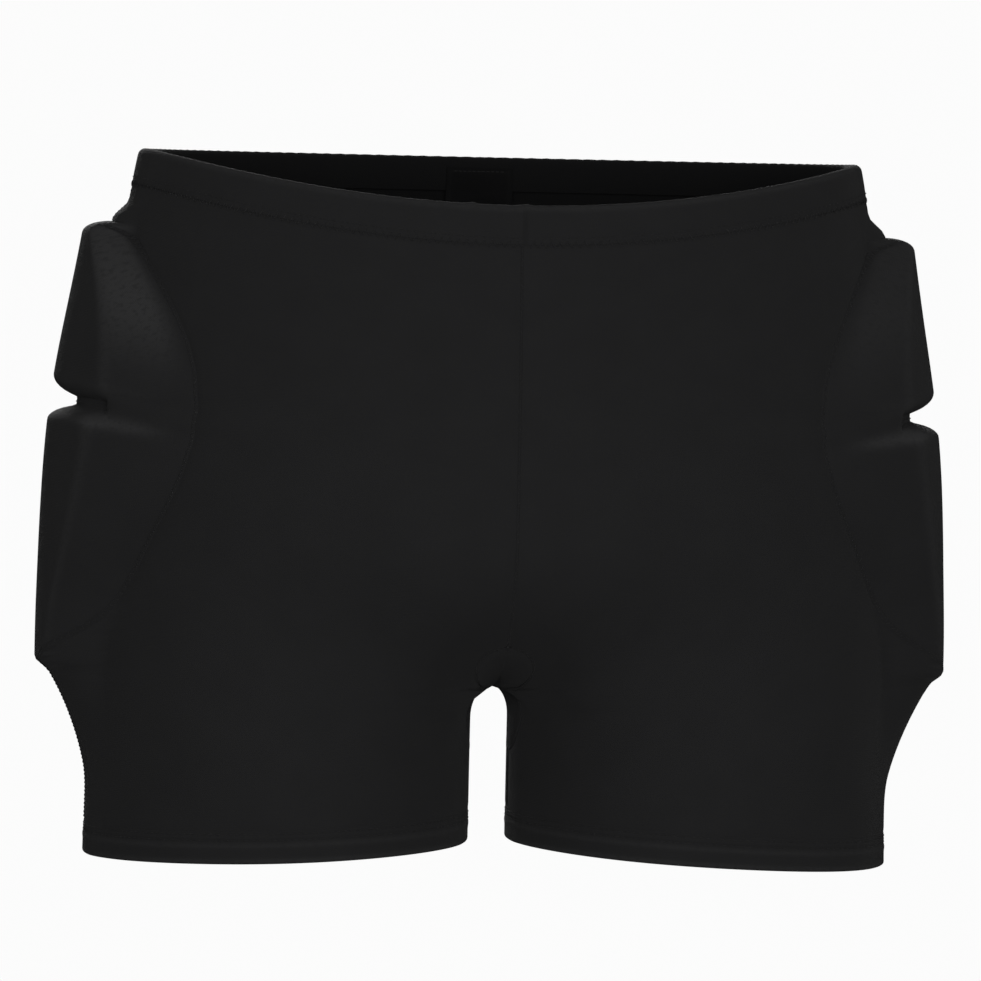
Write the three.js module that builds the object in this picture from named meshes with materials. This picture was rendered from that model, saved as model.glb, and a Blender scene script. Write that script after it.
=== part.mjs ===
/**
 * Padded impact shorts, adult size medium, in the shape they take when worn.
 *
 * Millimetres, +Z up. The front faces -Y and the wearer's right is -X. The origin is the middle
 * of the waist opening, level with the rim at the wearer's sides.
 *
 * One half of the outer cloth is a surface with two coordinates. The turn runs from 0 at the
 * front centre (the inseam, below the crotch), through 0.5 at the wearer's side, to 1 at the back
 * centre. The height is measured up from the crotch. Every layer is that surface, moved in or
 * out along its normal by a depth of its own, so the layers stay nested at any size.
 */
import * as THREE from 'three';

// Overall form
const WAIST_RISE = 243; // crotch to the waist rim at the wearer's side
const LEG_LENGTH = 71; // crotch to the hem edge on the inner leg
const WAIST_HALF_WIDTH = 165.5;
const WAIST_FRONT_DEPTH = 97;
const WAIST_BACK_DEPTH = 100;
const FRONT_DIP = 23.5; // how far the rim dips at the front centre
const HIP_HEIGHT = 60; // height of the widest place above the crotch
const HIP_HALF_WIDTH = 186;
const HIP_FRONT_DEPTH = 107;
const HIP_BACK_DEPTH = 126;
const THIGH_FRONT_DEPTH = 94;
const THIGH_BACK_DEPTH = 98;
const HEM_HALF_WIDTH = 184.5; // outer edge of the hem from the centre plane
const HEM_FRONT_DEPTH = 90;
const HEM_BACK_DEPTH = 93;
const LEG_GAP = 9; // inner edge of each leg from the centre plane
const GAP_ARCH = 14; // height over which the legs part below the crotch
const CROTCH_CURVE = 75; // height over which the centre seams turn under the crotch
const THIGH_START = 35; // how far below the crotch the thigh begins to merge into the pelvis
const HEM_SLANT = 0.047; // drop of the hem toward the outside, per millimetre of width

// Cloth, elastic and seams
const SHELL = 1.6; // thickness of the stretch shell fabric
const LINING = 1.2;
const LAYER_GAP = 0.45; // clearance between two layers
const EDGE_GAP = 0.5; // clearance between two edges that are sewn together
const SEAM_HALF_WIDTH = 1.7;
const SEAM_THICKNESS = 0.7;
const BAND_HEIGHT = 16; // waistband casing
const BAND_DEPTH = 5.6; // from the outer face of the casing to its inner face
const BAND_CLOTH = 1.3;
const HEM_HEIGHT = 15;
const HEM_THICKNESS = 3.2;

// Hip cover, a lens-shaped panel over the two hip pads
const COVER_TOP_DROP = 18; // below the waistband casing
const COVER_FOOT = 2; // above the crotch
const COVER_WIDEST = 123; // above the crotch
const COVER_HALF_WIDTH = 105; // along the cloth, at the widest place
const COVER_TOP_BLUNTNESS = 0.55;
const COVER_FOOT_BLUNTNESS = 1.1;

// Hip pads, which stand out under the cover
const PAD_RISE_TOP = 19.5; // how far the cover stands out at the top of the upper pad
const PAD_RISE_FOOT = 24; // and at the foot of the lower pad
const PAD_RIDGE = 0.5; // share of the cover's half width that is at full thickness
const PAD_EDGE = 0.75; // share of the cover's half width that holds foam
const GROOVE_HEIGHT = 126; // fold between the two pads, above the crotch
const GROOVE_HALF_WIDTH = 1.4;
const GROOVE_FLOOR = 9; // how far the cloth still stands out in the fold
const GROOVE_ROUND_UPPER = 10;
const GROOVE_ROUND_LOWER = 8;
const PAD_TOP_ROUND = 12;
const PAD_FOOT_HEIGHT = 9; // foot of the lower pad, above the crotch
const FOOT_TAPER = 54; // height over which the cloth falls back to the leg below the pad
const TOP_FAIRING = 5.5; // how far the cloth is pulled out just above the upper pad
const TENT_HALF_WIDTH = 34; // half width of the cloth drawn out above and below the pads
const TAPER_CURVE = 1.6; // how hollow the cloth is below the pad
const PAD_END_GAP = 1; // least distance of the foam from the fold, along the cloth
const PAD_TOP_GAP = 4; // and from the cover's top

// Seat pads, between the back panels and the seat lining
const SEAT_RISE = 9;
const SEAT_LOW = 30;
const SEAT_HIGH = 110;
const SEAT_COLUMNS = [2, 6]; // in steps across a back panel, from the hip cover
const TAIL_LOW = 124;
const TAIL_HIGH = 188;
const TAIL_COLUMN = 7;
const RAMP_HEIGHT = 10; // height over which the cloth climbs onto a seat pad

// Crotch gusset, a diamond between the four panels
const GUSSET_FRONT = 22; // reach up the centre seams
const GUSSET_LEG = 30; // reach down the inseams
const GUSSET_TURN = 0.045; // reach round each thigh, as a share of its girth
const GUSSET_INSET = 0.9;
const GUSSET_STEPS = 4; // steps in a quarter of its edge

const LABEL_HALF_WIDTH = 15;
const LABEL_HEIGHT = 34;
const LABEL_THICKNESS = 0.8;

const COLUMNS = 8; // steps across each panel, cover and lining
const RING_STEPS = 48;
const LEG_STEPS = 32;
const SIDE_TURN = 0.5;
const EDGE_FADE = 20; // height over which a layer turns level toward the rim and the hem
const LABEL_DROP = 5; // below the rim

const HALF_GIRTH = Math.PI * Math.sqrt(
  (HIP_HALF_WIDTH ** 2 + ((HIP_FRONT_DEPTH + HIP_BACK_DEPTH) / 2) ** 2) / 2,
);
const LEG_GIRTH = (Math.PI * (HEM_HALF_WIDTH - LEG_GAP + HEM_FRONT_DEPTH + HEM_BACK_DEPTH)) / 2;
const BAND_FOOT = WAIST_RISE - BAND_HEIGHT;
const PANEL_TOP = BAND_FOOT - EDGE_GAP;
const BAND_CLEAR = PANEL_TOP - 3 * SEAM_HALF_WIDTH; // the cloth starts to stand out below this
const HEM_TOP = HEM_HEIGHT - LEG_LENGTH;
const PANEL_FOOT = HEM_TOP + EDGE_GAP;
const COVER_TOP = BAND_FOOT - COVER_TOP_DROP;

const clamp01 = (value) => Math.min(1, Math.max(0, value));
const mix = (a, b, share) => a + (b - a) * share;
const smooth = (from, to, value) => {
  const share = clamp01((value - from) / (to - from));
  return share * share * (3 - 2 * share);
};
const roundEnd = (distance, radius) => Math.sqrt(1 - (1 - clamp01(distance / radius)) ** 2);
const spread = (from, to, steps) => Array.from({ length: steps + 1 }, (_, i) => mix(from, to, i / steps));

/** Half width and depths of the pelvis at a height. */
function pelvis(height) {
  const drop = clamp01((WAIST_RISE - height) / (WAIST_RISE - HIP_HEIGHT));
  const share = Math.sin((drop * Math.PI) / 2);
  return {
    half: mix(WAIST_HALF_WIDTH, HIP_HALF_WIDTH, share),
    front: mix(WAIST_FRONT_DEPTH, HIP_FRONT_DEPTH, share),
    back: mix(WAIST_BACK_DEPTH, HIP_BACK_DEPTH, share),
  };
}

/** Inner edge, outer edge and depths of one thigh at a height. */
function thigh(height) {
  const share = smooth(HIP_HEIGHT, -LEG_LENGTH, height);
  return {
    inner: LEG_GAP * roundEnd(-height, GAP_ARCH),
    outer: mix(HIP_HALF_WIDTH, HEM_HALF_WIDTH, share),
    front: mix(THIGH_FRONT_DEPTH, HEM_FRONT_DEPTH, share),
    back: mix(THIGH_BACK_DEPTH, HEM_BACK_DEPTH, share),
  };
}

/** Bare outer surface of the wearer's right half, before the rim and the hem are cut to line. */
function form(turn, height) {
  const hips = pelvis(height);
  const leg = thigh(height);
  const hipAngle = Math.PI * turn;
  const legAngle = 2 * Math.PI * turn;
  const hipDepth = turn < SIDE_TURN ? hips.front : hips.back;
  const legDepth = turn < SIDE_TURN ? leg.front : leg.back;
  const legHalf = (leg.outer - leg.inner) / 2;
  const seamShare = roundEnd(height, CROTCH_CURVE);
  const bodyShare = smooth(-THIGH_START, CROTCH_CURVE, height);
  const share = mix(seamShare, bodyShare, smooth(0, 0.2, Math.min(turn, 1 - turn)));
  const x = mix(legHalf * Math.cos(legAngle) - leg.inner - legHalf, -hips.half * Math.sin(hipAngle), share);
  const y = mix(-legDepth * Math.sin(legAngle), -hipDepth * Math.cos(hipAngle), share);
  return new THREE.Vector3(x, y, height);
}

/** Outward normal of the form. It lies in the centre plane on the centre seams. */
function formNormal(turn, height) {
  const step = 0.004;
  const rise = 1.5;
  const [before, after] = [Math.max(0, turn - step), Math.min(1, turn + step)];
  const across = form(after, height).sub(form(before, height));
  const up = form(turn, height + rise).sub(form(turn, height - rise));
  const normal = up.cross(across).normalize();
  if ((turn === 0 || turn === 1) && height > 0) {
    normal.x = 0;
  }
  const nearHem = smooth(HEM_TOP + EDGE_FADE, HEM_TOP, height);
  const nearBand = smooth(BAND_FOOT - EDGE_FADE, BAND_FOOT, height);
  normal.z *= 1 - Math.max(nearHem, nearBand);
  return normal.normalize();
}

/** Point of a layer at a depth outside (+) or inside (-) the form, with rim and hem cut to line. */
function layer(turn, height, depth) {
  const point = form(turn, height).addScaledVector(formNormal(turn, height), depth);
  const hips = pelvis(height);
  const dip = point.y < 0 ? FRONT_DIP * (point.y / hips.front) ** 2 : 0;
  const slant = HEM_SLANT * (Math.abs(point.x) - LEG_GAP);
  point.z -= WAIST_RISE;
  point.z -= dip * smooth(COVER_WIDEST, BAND_FOOT, height);
  point.z -= slant * smooth(0, HEM_TOP, height);
  return point;
}

/** Half width of the hip cover at a height, in millimetres along the cloth. */
function coverHalf(height) {
  const upper = height > COVER_WIDEST;
  const reach = upper ? COVER_TOP - COVER_WIDEST : COVER_WIDEST - COVER_FOOT;
  const share = clamp01(Math.abs(height - COVER_WIDEST) / reach);
  const bluntness = upper ? COVER_TOP_BLUNTNESS : COVER_FOOT_BLUNTNESS;
  return COVER_HALF_WIDTH * (1 - share * share) ** bluntness;
}

/** Point beside the cover's front edge, moved out (+) or in (-) by a distance along the cloth. */
function coverEdge(height, distance) {
  const step = 0.05;
  const slope = (coverHalf(height + step) - coverHalf(height - step)) / (2 * step);
  const length = Math.hypot(1, slope);
  return {
    turn: SIDE_TURN - (coverHalf(height) + distance / length) / HALF_GIRTH,
    height: height - (slope * distance) / length,
  };
}

/** How far the cloth stands out over the hip pads. */
function hipRise(turn, height) {
  const full = mix(PAD_RISE_TOP, PAD_RISE_FOOT, (COVER_TOP - height) / (COVER_TOP - PAD_FOOT_HEIGHT));
  const upper = roundEnd(COVER_TOP - height, PAD_TOP_ROUND)
    * roundEnd(height - GROOVE_HEIGHT - GROOVE_HALF_WIDTH, GROOVE_ROUND_UPPER);
  const lower = roundEnd(GROOVE_HEIGHT - GROOVE_HALF_WIDTH - height, GROOVE_ROUND_LOWER)
    * clamp01((height - PAD_FOOT_HEIGHT + FOOT_TAPER) / FOOT_TAPER) ** TAPER_CURVE;
  const floor = height < COVER_TOP && height > COVER_WIDEST - FOOT_TAPER ? GROOVE_FLOOR : 0;
  const fairing = height > COVER_WIDEST ? TOP_FAIRING * smooth(BAND_CLEAR, COVER_TOP, height) : 0;
  const along = Math.max(full * upper, full * lower, floor, fairing);
  const tent = TENT_HALF_WIDTH * Math.max(
    smooth(HIP_HEIGHT, PAD_FOOT_HEIGHT, height),
    smooth(COVER_TOP - PAD_TOP_ROUND, COVER_TOP, height),
  );
  const reach = Math.hypot(coverHalf(height), tent);
  const across = reach > 0 ? (Math.abs(turn - SIDE_TURN) * HALF_GIRTH) / reach : 1;
  return along * clamp01((1 - across) / (1 - PAD_RIDGE));
}

/** How far the cloth stands out over the seat pads, at a column of the back panel. */
function seatRise(column, height) {
  const [first, last] = SEAT_COLUMNS;
  const climb = (low, high) => Math.min((height - low) / RAMP_HEIGHT, (high - height) / RAMP_HEIGHT) + 1;
  const seat = Math.min(column - first + 1, last - column + 1, climb(SEAT_LOW, SEAT_HIGH));
  const tail = Math.min(column - TAIL_COLUMN + 1, climb(TAIL_LOW, TAIL_HIGH));
  return SEAT_RISE * clamp01(Math.max(seat, tail));
}

// Rows of heights that neighbouring layers share, so that their faces run side by side
const gussetRows = [GUSSET_FRONT, GUSSET_LEG].flatMap((reach, below) => {
  const half = spread(0, 1, GUSSET_STEPS / 2).map((share) => reach * Math.cos((share * Math.PI) / 2));
  return below ? half.slice(0, -1).reverse().map((height) => -height) : half;
});
const coverRows = [
  ...[0.5, 3, 8.6].map((drop) => COVER_TOP - drop),
  ...spread(COVER_TOP - PAD_TOP_ROUND - 4, GROOVE_HEIGHT + GROOVE_HALF_WIDTH + GROOVE_ROUND_UPPER, 3),
  ...[3.5, 0].map((rise) => GROOVE_HEIGHT + GROOVE_HALF_WIDTH + rise),
  ...[0, 2.5].map((drop) => GROOVE_HEIGHT - GROOVE_HALF_WIDTH - drop),
  ...spread(GROOVE_HEIGHT - GROOVE_HALF_WIDTH - GROOVE_ROUND_LOWER, GUSSET_FRONT + 12, 5),
  ...gussetRows.filter((height) => height > COVER_FOOT + 1),
  COVER_FOOT + 1.5,
];
const panelRows = [
  PANEL_TOP,
  BAND_CLEAR,
  COVER_TOP + EDGE_GAP,
  ...coverRows,
  ...gussetRows.filter((height) => height < COVER_FOOT),
  mix(-GUSSET_LEG, PANEL_FOOT, 0.5),
  PANEL_FOOT,
];

/** Turn at which a panel starts, beside the centre seam, the gusset or the inseam. */
function panelStart(height) {
  if (height >= GUSSET_FRONT) {
    return 0;
  }
  const reach = height > 0 ? GUSSET_FRONT : GUSSET_LEG;
  const swell = Math.sqrt(Math.max(0, 1 - (height / reach) ** 2));
  return Math.max(GUSSET_TURN * swell, EDGE_GAP / 2 / LEG_GIRTH);
}

/** Turn and height at one column of a row of the front panel, from the centre to the side. */
function panelSpot(height, share) {
  const inCover = height < COVER_TOP && height > COVER_FOOT;
  const besideSide = { turn: SIDE_TURN - EDGE_GAP / 2 / HALF_GIRTH, height };
  const edge = inCover ? coverEdge(height, EDGE_GAP / 2) : besideSide;
  return { turn: mix(panelStart(height), edge.turn, share), height: mix(height, edge.height, share) };
}

/** Turn and height at one column of a row of the cover, from its front edge to its back edge. */
function coverSpot(height, across) {
  const edge = coverEdge(height, -EDGE_GAP / 2);
  return { turn: SIDE_TURN + (SIDE_TURN - edge.turn) * across, height: edge.height };
}

const material = (color, roughness) => new THREE.MeshStandardMaterial({ color, roughness, metalness: 0 });
const shellCloth = () => material(0x1d1d1f, 0.9);
const liningCloth = () => material(0x151516, 0.95);
const elastic = () => material(0x121213, 0.85);
const foam = () => material(0x3a3a3d, 0.98);
const thread = () => material(0x262628, 0.8);
const labelCloth = () => material(0x2c2c2e, 0.9);

const group = new THREE.Group();
group.name = 'padded_impact_shorts';

/** Adds a closed mesh to the group, turning its faces outward. */
function addBody(name, points, faces, finish) {
  const tripleProduct = ([a, b, c]) => points[a].dot(points[b].clone().cross(points[c]));
  const volume = faces.reduce((sum, face) => sum + tripleProduct(face), 0);
  const index = volume > 0 ? faces.flat() : faces.flatMap(([a, b, c]) => [a, c, b]);
  const geometry = new THREE.BufferGeometry();
  const places = points.flatMap((point) => point.toArray());
  geometry.setAttribute('position', new THREE.Float32BufferAttribute(places, 3));
  geometry.setIndex(index);
  geometry.computeVertexNormals();
  const mesh = new THREE.Mesh(geometry, finish);
  mesh.name = name;
  group.add(mesh);
}

const quad = (a, b, c, d) => [[a, b, c], [a, c, d]];

/** Closed solid between two grids of points. The diagonals mirror each other past the centre column. */
function addSheet(name, outer, inner, finish, centre = Infinity) {
  const rows = outer.length;
  const columns = outer[0].length;
  const at = (side, row, column) => (side * rows + row) * columns + column;
  const faces = [];
  for (let row = 0; row + 1 < rows; row += 1) {
    for (let column = 0; column + 1 < columns; column += 1) {
      const cell = [[row, column], [row, column + 1], [row + 1, column + 1], [row + 1, column]];
      const turned = column < centre ? cell : [...cell.slice(1), cell[0]];
      faces.push(...quad(...turned.map(([r, c]) => at(0, r, c))));
      const [a, b, c, d] = turned.map(([r, k]) => at(1, r, k));
      faces.push(...quad(a, d, c, b));
    }
    faces.push(...quad(at(0, row, 0), at(0, row + 1, 0), at(1, row + 1, 0), at(1, row, 0)));
    const end = columns - 1;
    faces.push(...quad(at(0, row, end), at(1, row, end), at(1, row + 1, end), at(0, row + 1, end)));
  }
  for (let column = 0; column + 1 < columns; column += 1) {
    const [end, next] = [rows - 1, column + 1];
    faces.push(...quad(at(0, 0, column), at(1, 0, column), at(1, 0, next), at(0, 0, next)));
    faces.push(...quad(at(0, end, column), at(0, end, next), at(1, end, next), at(1, end, column)));
  }
  addBody(name, [...outer.flat(), ...inner.flat()], faces, finish);
}

/** Closed ring through a loop of sections, each with the same number of points. */
function addRing(name, sections, finish) {
  const size = sections[0].length;
  const faces = sections.flatMap((section, i) => section.flatMap((_, j) => {
    const [here, next] = [i * size, ((i + 1) % sections.length) * size];
    const after = (j + 1) % size;
    return quad(here + j, next + j, next + after, here + after);
  }));
  addBody(name, sections.flat(), faces, finish);
}

/** The wearer's right (-X) or left (+X) copy of a point. */
const onSide = (side, point) => (side === 'right' ? point : point.clone().setX(-point.x));

/** Grid of points over one half, from a spot and a depth for each row and column. */
function grid(side, rows, columns, spot, depth) {
  return rows.map((row) => columns.map((column) => {
    const { turn, height } = spot(row, column);
    return onSide(side, layer(turn, height, depth(turn, height, column, row)));
  }));
}

/** Grid that runs across the centre plane, from the right half to the left half. */
function centreGrid(rows, columns, spot, depth) {
  const right = grid('right', rows, columns, spot, depth);
  return right.map((row) => [...row, ...row.slice(0, -1).reverse().map((point) => onSide('left', point))]);
}

const clearOfCentre = (rows) => rows.map((row) => row.map((point) => {
  const limit = EDGE_GAP / 2;
  return Math.abs(point.x) < limit ? point.clone().setX(Math.sign(point.x || -1) * limit) : point;
}));

const columnSteps = spread(0, COLUMNS, COLUMNS);
const backSpot = (height, column) => {
  const { turn, height: level } = panelSpot(height, 1 - column / COLUMNS);
  return { turn: 1 - turn, height: level };
};

for (const side of ['right', 'left']) {
  addPanels(side);
  addHip(side);
  addLegTrim(side);
}
addSeat();
addWaist();
addGusset();
addCentreSeams();

/** Front and back shell panels of one side. */
function addPanels(side) {
  const trim = (points) => clearOfCentre(points.map((row) => row.map((p) => {
    const limit = side === 'right' ? Math.min(p.x, -EDGE_GAP / 2) : Math.max(p.x, EDGE_GAP / 2);
    return p.setX(limit);
  })));
  const front = (inset) => trim(grid(side, panelRows, columnSteps,
    (height, column) => panelSpot(height, column / COLUMNS),
    (turn, height) => hipRise(turn, height) - inset));
  const back = (inset) => trim(grid(side, panelRows, columnSteps, backSpot,
    (turn, height, column, row) => hipRise(turn, height) + seatRise(column, row) - inset));
  addSheet(`front_panel_${side}`, front(0), front(SHELL), shellCloth());
  addSheet(`back_panel_${side}`, back(0), back(SHELL), shellCloth());
}

/** Hip cover, the two pads below it, the lining behind them and the cover's seams. */
function addHip(side) {
  const across = spread(-1, 1, COLUMNS);
  const cover = (inset) => grid(side, coverRows, across, coverSpot,
    (turn, height) => hipRise(turn, height) - inset);
  addSheet(`side_cover_${side}`, cover(0), cover(SHELL), shellCloth(), COLUMNS / 2);

  const flat = (depth) => grid(side, coverRows, across, coverSpot, () => depth);
  const liningFace = -SHELL - LAYER_GAP;
  addSheet(`hip_lining_${side}`, flat(liningFace), flat(liningFace - LINING), liningCloth(), COLUMNS / 2);

  const foamColumns = across.filter((share) => Math.abs(share) <= PAD_EDGE + 0.01);
  const foldGap = GROOVE_HALF_WIDTH + PAD_END_GAP;
  const upperRows = coverRows.filter((h) => h < COVER_TOP - PAD_TOP_GAP && h > GROOVE_HEIGHT + foldGap);
  const lowerTop = GROOVE_HEIGHT - foldGap;
  const lowerRows = coverRows.filter((h) => h < lowerTop && h > PAD_FOOT_HEIGHT - PAD_TOP_GAP);
  for (const [name, rows] of [['upper', upperRows], ['lower', lowerRows]]) {
    const top = grid(side, rows, foamColumns, coverSpot,
      (turn, height) => hipRise(turn, height) - SHELL - LAYER_GAP);
    const base = grid(side, rows, foamColumns, coverSpot, () => -SHELL);
    addSheet(`hip_pad_${name}_${side}`, top, base, foam(), (foamColumns.length - 1) / 2);
  }

  for (const [name, mirror] of [['front', false], ['back', true]]) {
    const seam = (lift) => grid(side, coverRows.slice(2, -1), [-1, 1],
      (height, column) => {
        const edge = coverEdge(height, column * SEAM_HALF_WIDTH);
        return { turn: mirror ? 1 - edge.turn : edge.turn, height: edge.height };
      },
      (turn, height) => {
        const inCover = coverEdge(height, -SEAM_HALF_WIDTH).turn;
        return Math.max(hipRise(turn, height), hipRise(inCover, height)) + lift;
      });
    addSheet(`cover_seam_${name}_${side}`, seam(LAYER_GAP + SEAM_THICKNESS), seam(LAYER_GAP), thread());
  }
  const grooveColumns = across.filter((share) => Math.abs(share) <= PAD_RIDGE + 0.01);
  const divider = (lift) => grid(side, [GROOVE_HEIGHT + 0.8, GROOVE_HEIGHT - 0.8], grooveColumns, coverSpot,
    (turn, height) => hipRise(turn, height) + lift);
  addSheet(`pad_divider_seam_${side}`, divider(LAYER_GAP + SEAM_THICKNESS), divider(LAYER_GAP), thread(),
    (grooveColumns.length - 1) / 2);
}

/** Hem band, its stitching and the inseam of one leg. */
function addLegTrim(side) {
  const turns = spread(0, 1, LEG_STEPS).slice(0, -1);
  const ring = (corners) => turns.map((turn) => (
    corners.map(([depth, height]) => onSide(side, layer(turn, height, depth)))));
  addRing(`hem_band_${side}`, ring([
    [0, HEM_TOP], [0, -LEG_LENGTH], [-HEM_THICKNESS, -LEG_LENGTH], [-HEM_THICKNESS, HEM_TOP],
  ]), shellCloth());
  const [low, high] = [HEM_TOP - SEAM_HALF_WIDTH, PANEL_FOOT + SEAM_HALF_WIDTH];
  const [near, far] = [LAYER_GAP, LAYER_GAP + SEAM_THICKNESS];
  addRing(`hem_topstitch_${side}`, ring([[near, high], [near, low], [far, low], [far, high]]), thread());

  const edge = SEAM_HALF_WIDTH / LEG_GIRTH;
  const inseamRows = spread(-GUSSET_LEG - SEAM_HALF_WIDTH, high + EDGE_GAP, 2);
  const inseam = (depth) => grid(side, inseamRows, [edge, 0, 1 - edge],
    (height, turn) => ({ turn, height }), () => depth);
  addSheet(`inseam_${side}`, inseam(far), inseam(near), thread());
}

/** Seat pads, tailbone pad and the lining that holds them against the back panels. */
function addSeat() {
  const liningFace = -SHELL - LAYER_GAP;
  const bounded = (low, high) => panelRows.filter((height) => height > low - 0.01 && height < high + 0.01);
  const padFace = (turn, height, column, row) => (
    seatRise(column, row) + hipRise(turn, height) - SHELL - LAYER_GAP * 2);
  const seatRows = bounded(SEAT_LOW, SEAT_HIGH);
  const [firstColumn, lastColumn] = SEAT_COLUMNS;
  const seatColumns = columnSteps.filter((column) => column >= firstColumn && column <= lastColumn);
  for (const side of ['right', 'left']) {
    addSheet(`seat_pad_${side}`, grid(side, seatRows, seatColumns, backSpot, padFace),
      grid(side, seatRows, seatColumns, backSpot, () => -SHELL), foam());
  }
  const tailColumns = columnSteps.filter((column) => column >= TAIL_COLUMN);
  const tailRows = bounded(TAIL_LOW, TAIL_HIGH);
  addSheet('tailbone_pad', centreGrid(tailRows, tailColumns, backSpot, padFace),
    centreGrid(tailRows, tailColumns, backSpot, () => -SHELL), foam(), tailColumns.length - 1);
  const liningRows = bounded(SEAT_LOW - RAMP_HEIGHT, TAIL_HIGH + RAMP_HEIGHT);
  const liningColumns = columnSteps.filter((column) => column >= firstColumn - 1);
  addSheet('seat_lining', centreGrid(liningRows, liningColumns, backSpot, () => liningFace),
    centreGrid(liningRows, liningColumns, backSpot, () => liningFace - LINING), liningCloth(),
    liningColumns.length - 1);
}

/** Waistband casing, the elastic inside it, its stitching and the label behind it. */
function addWaist() {
  const turns = spread(0, 2, RING_STEPS).slice(0, -1);
  const ring = (corners) => turns.map((turn) => corners.map(([depth, height]) => (
    turn <= 1 ? layer(turn, height, depth) : onSide('left', layer(2 - turn, height, depth)))));
  const innerFace = BAND_CLOTH - BAND_DEPTH;
  addRing('waistband', ring([
    [0, BAND_FOOT], [0, WAIST_RISE], [-BAND_DEPTH, WAIST_RISE], [-BAND_DEPTH, BAND_FOOT],
    [innerFace, BAND_FOOT], [innerFace, WAIST_RISE - BAND_CLOTH],
    [-BAND_CLOTH, WAIST_RISE - BAND_CLOTH], [-BAND_CLOTH, BAND_FOOT],
  ]), shellCloth());
  const [outerFace, backFace] = [-BAND_CLOTH - LAYER_GAP, innerFace + LAYER_GAP];
  const [elasticFoot, elasticTop] = [BAND_FOOT + 1, WAIST_RISE - BAND_CLOTH - LAYER_GAP];
  addRing('waist_elastic', ring([
    [outerFace, elasticFoot], [outerFace, elasticTop], [backFace, elasticTop], [backFace, elasticFoot],
  ]), elastic());
  const [low, high] = [PANEL_TOP - SEAM_HALF_WIDTH, BAND_FOOT + SEAM_HALF_WIDTH];
  const [near, far] = [LAYER_GAP, LAYER_GAP + SEAM_THICKNESS];
  addRing('waistband_topstitch', ring([[near, low], [near, high], [far, high], [far, low]]), thread());

  const labelFace = -BAND_DEPTH - LAYER_GAP;
  const labelTop = WAIST_RISE - LABEL_DROP;
  const label = (depth) => centreGrid(spread(labelTop, labelTop - LABEL_HEIGHT, 2),
    [1 - LABEL_HALF_WIDTH / HALF_GIRTH, 1], (height, turn) => ({ turn, height }), () => depth);
  addSheet('care_label', label(labelFace), label(labelFace - LABEL_THICKNESS), labelCloth(), 1);
}

/** Diamond gusset round the crotch, as rings of points about its middle. */
function addGusset() {
  const rings = spread(0, GUSSET_INSET, 4).slice(1);
  const around = 4 * GUSSET_STEPS;
  const point = (ring, step) => {
    const quarter = Math.floor(step / GUSSET_STEPS);
    const fold = (step % GUSSET_STEPS) / GUSSET_STEPS;
    const along = Math.PI * (quarter % 2 ? 1 - fold : fold);
    const reach = Math.cos(along) > 0 ? GUSSET_FRONT : GUSSET_LEG;
    const turn = ring * GUSSET_TURN * Math.sin(along);
    const atBack = quarter === 1 || quarter === 2;
    const spot = form(atBack ? 1 - turn : turn, ring * ring * reach * Math.cos(along));
    spot.z -= WAIST_RISE;
    return quarter < 2 ? spot : spot.setX(-spot.x);
  };
  const centre = form(0, 0);
  centre.z -= WAIST_RISE;
  const steps = Array.from({ length: around }, (_, step) => step);
  const outer = [centre, ...rings.flatMap((ring) => steps.map((step) => point(ring, step)))];
  const faces = [];
  const at = (ring, step) => 1 + ring * around + (step % around);
  for (let step = 0; step < around; step += 1) {
    faces.push([0, at(0, step), at(0, step + 1)]);
    for (let ring = 0; ring + 1 < rings.length; ring += 1) {
      faces.push(...quad(at(ring, step), at(ring + 1, step), at(ring + 1, step + 1), at(ring, step + 1)));
    }
  }
  const normals = outer.map(() => new THREE.Vector3());
  for (const [a, b, c] of faces) {
    const normal = outer[b].clone().sub(outer[a]).cross(outer[c].clone().sub(outer[a]));
    [a, b, c].forEach((corner) => normals[corner].add(normal));
  }
  const inward = Math.sign(normals[0].z);
  const inner = outer.map((p, i) => p.clone().addScaledVector(normals[i].normalize(), inward * SHELL));
  const shift = outer.length;
  const backs = faces.map(([a, b, c]) => [a + shift, c + shift, b + shift]);
  const rim = steps.flatMap((step) => {
    const [a, b] = [at(rings.length - 1, step), at(rings.length - 1, step + 1)];
    return quad(a, a + shift, b + shift, b);
  });
  addBody('crotch_gusset', [...outer, ...inner], [...faces, ...backs, ...rim], shellCloth());
}

/** Flat seams that join the two halves at the front and at the back. */
function addCentreSeams() {
  const edge = SEAM_HALF_WIDTH / HALF_GIRTH;
  const rows = panelRows.filter((height) => height >= GUSSET_FRONT - 0.01 && height < BAND_CLEAR + 2);
  for (const [name, turns] of [['front', [edge, 0]], ['back', [1 - edge, 1]]]) {
    const seam = (lift) => centreGrid(rows, turns, (height, turn) => ({ turn, height }),
      (turn, height) => lift + (name === 'back' ? seatRise(COLUMNS, height) : 0));
    addSheet(`${name}_centre_seam`, seam(LAYER_GAP + SEAM_THICKNESS), seam(LAYER_GAP), thread(), 1);
  }
}

export default group;
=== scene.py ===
"""Padded impact shorts for skiing and snowboarding, dressed and lit around their fixed frame.

Shapes are worked out in millimetres and turned into metres as each mesh is made. The front of
the shorts faces -Y, the wearer's right is -X and the origin is the middle of the waist opening.
Cloth is placed by two coordinates. The turn runs from 0 at the front centre (the inseam, below
the crotch), through 0.5 at the wearer's side, to 1 at the back centre. The height is measured up
from the crotch.
"""
import logging
import math
from collections.abc import Callable
from dataclasses import dataclass, field, replace
from enum import Enum

import bmesh
import bpy
import numpy as np
from mathutils import Matrix, Vector


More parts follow.
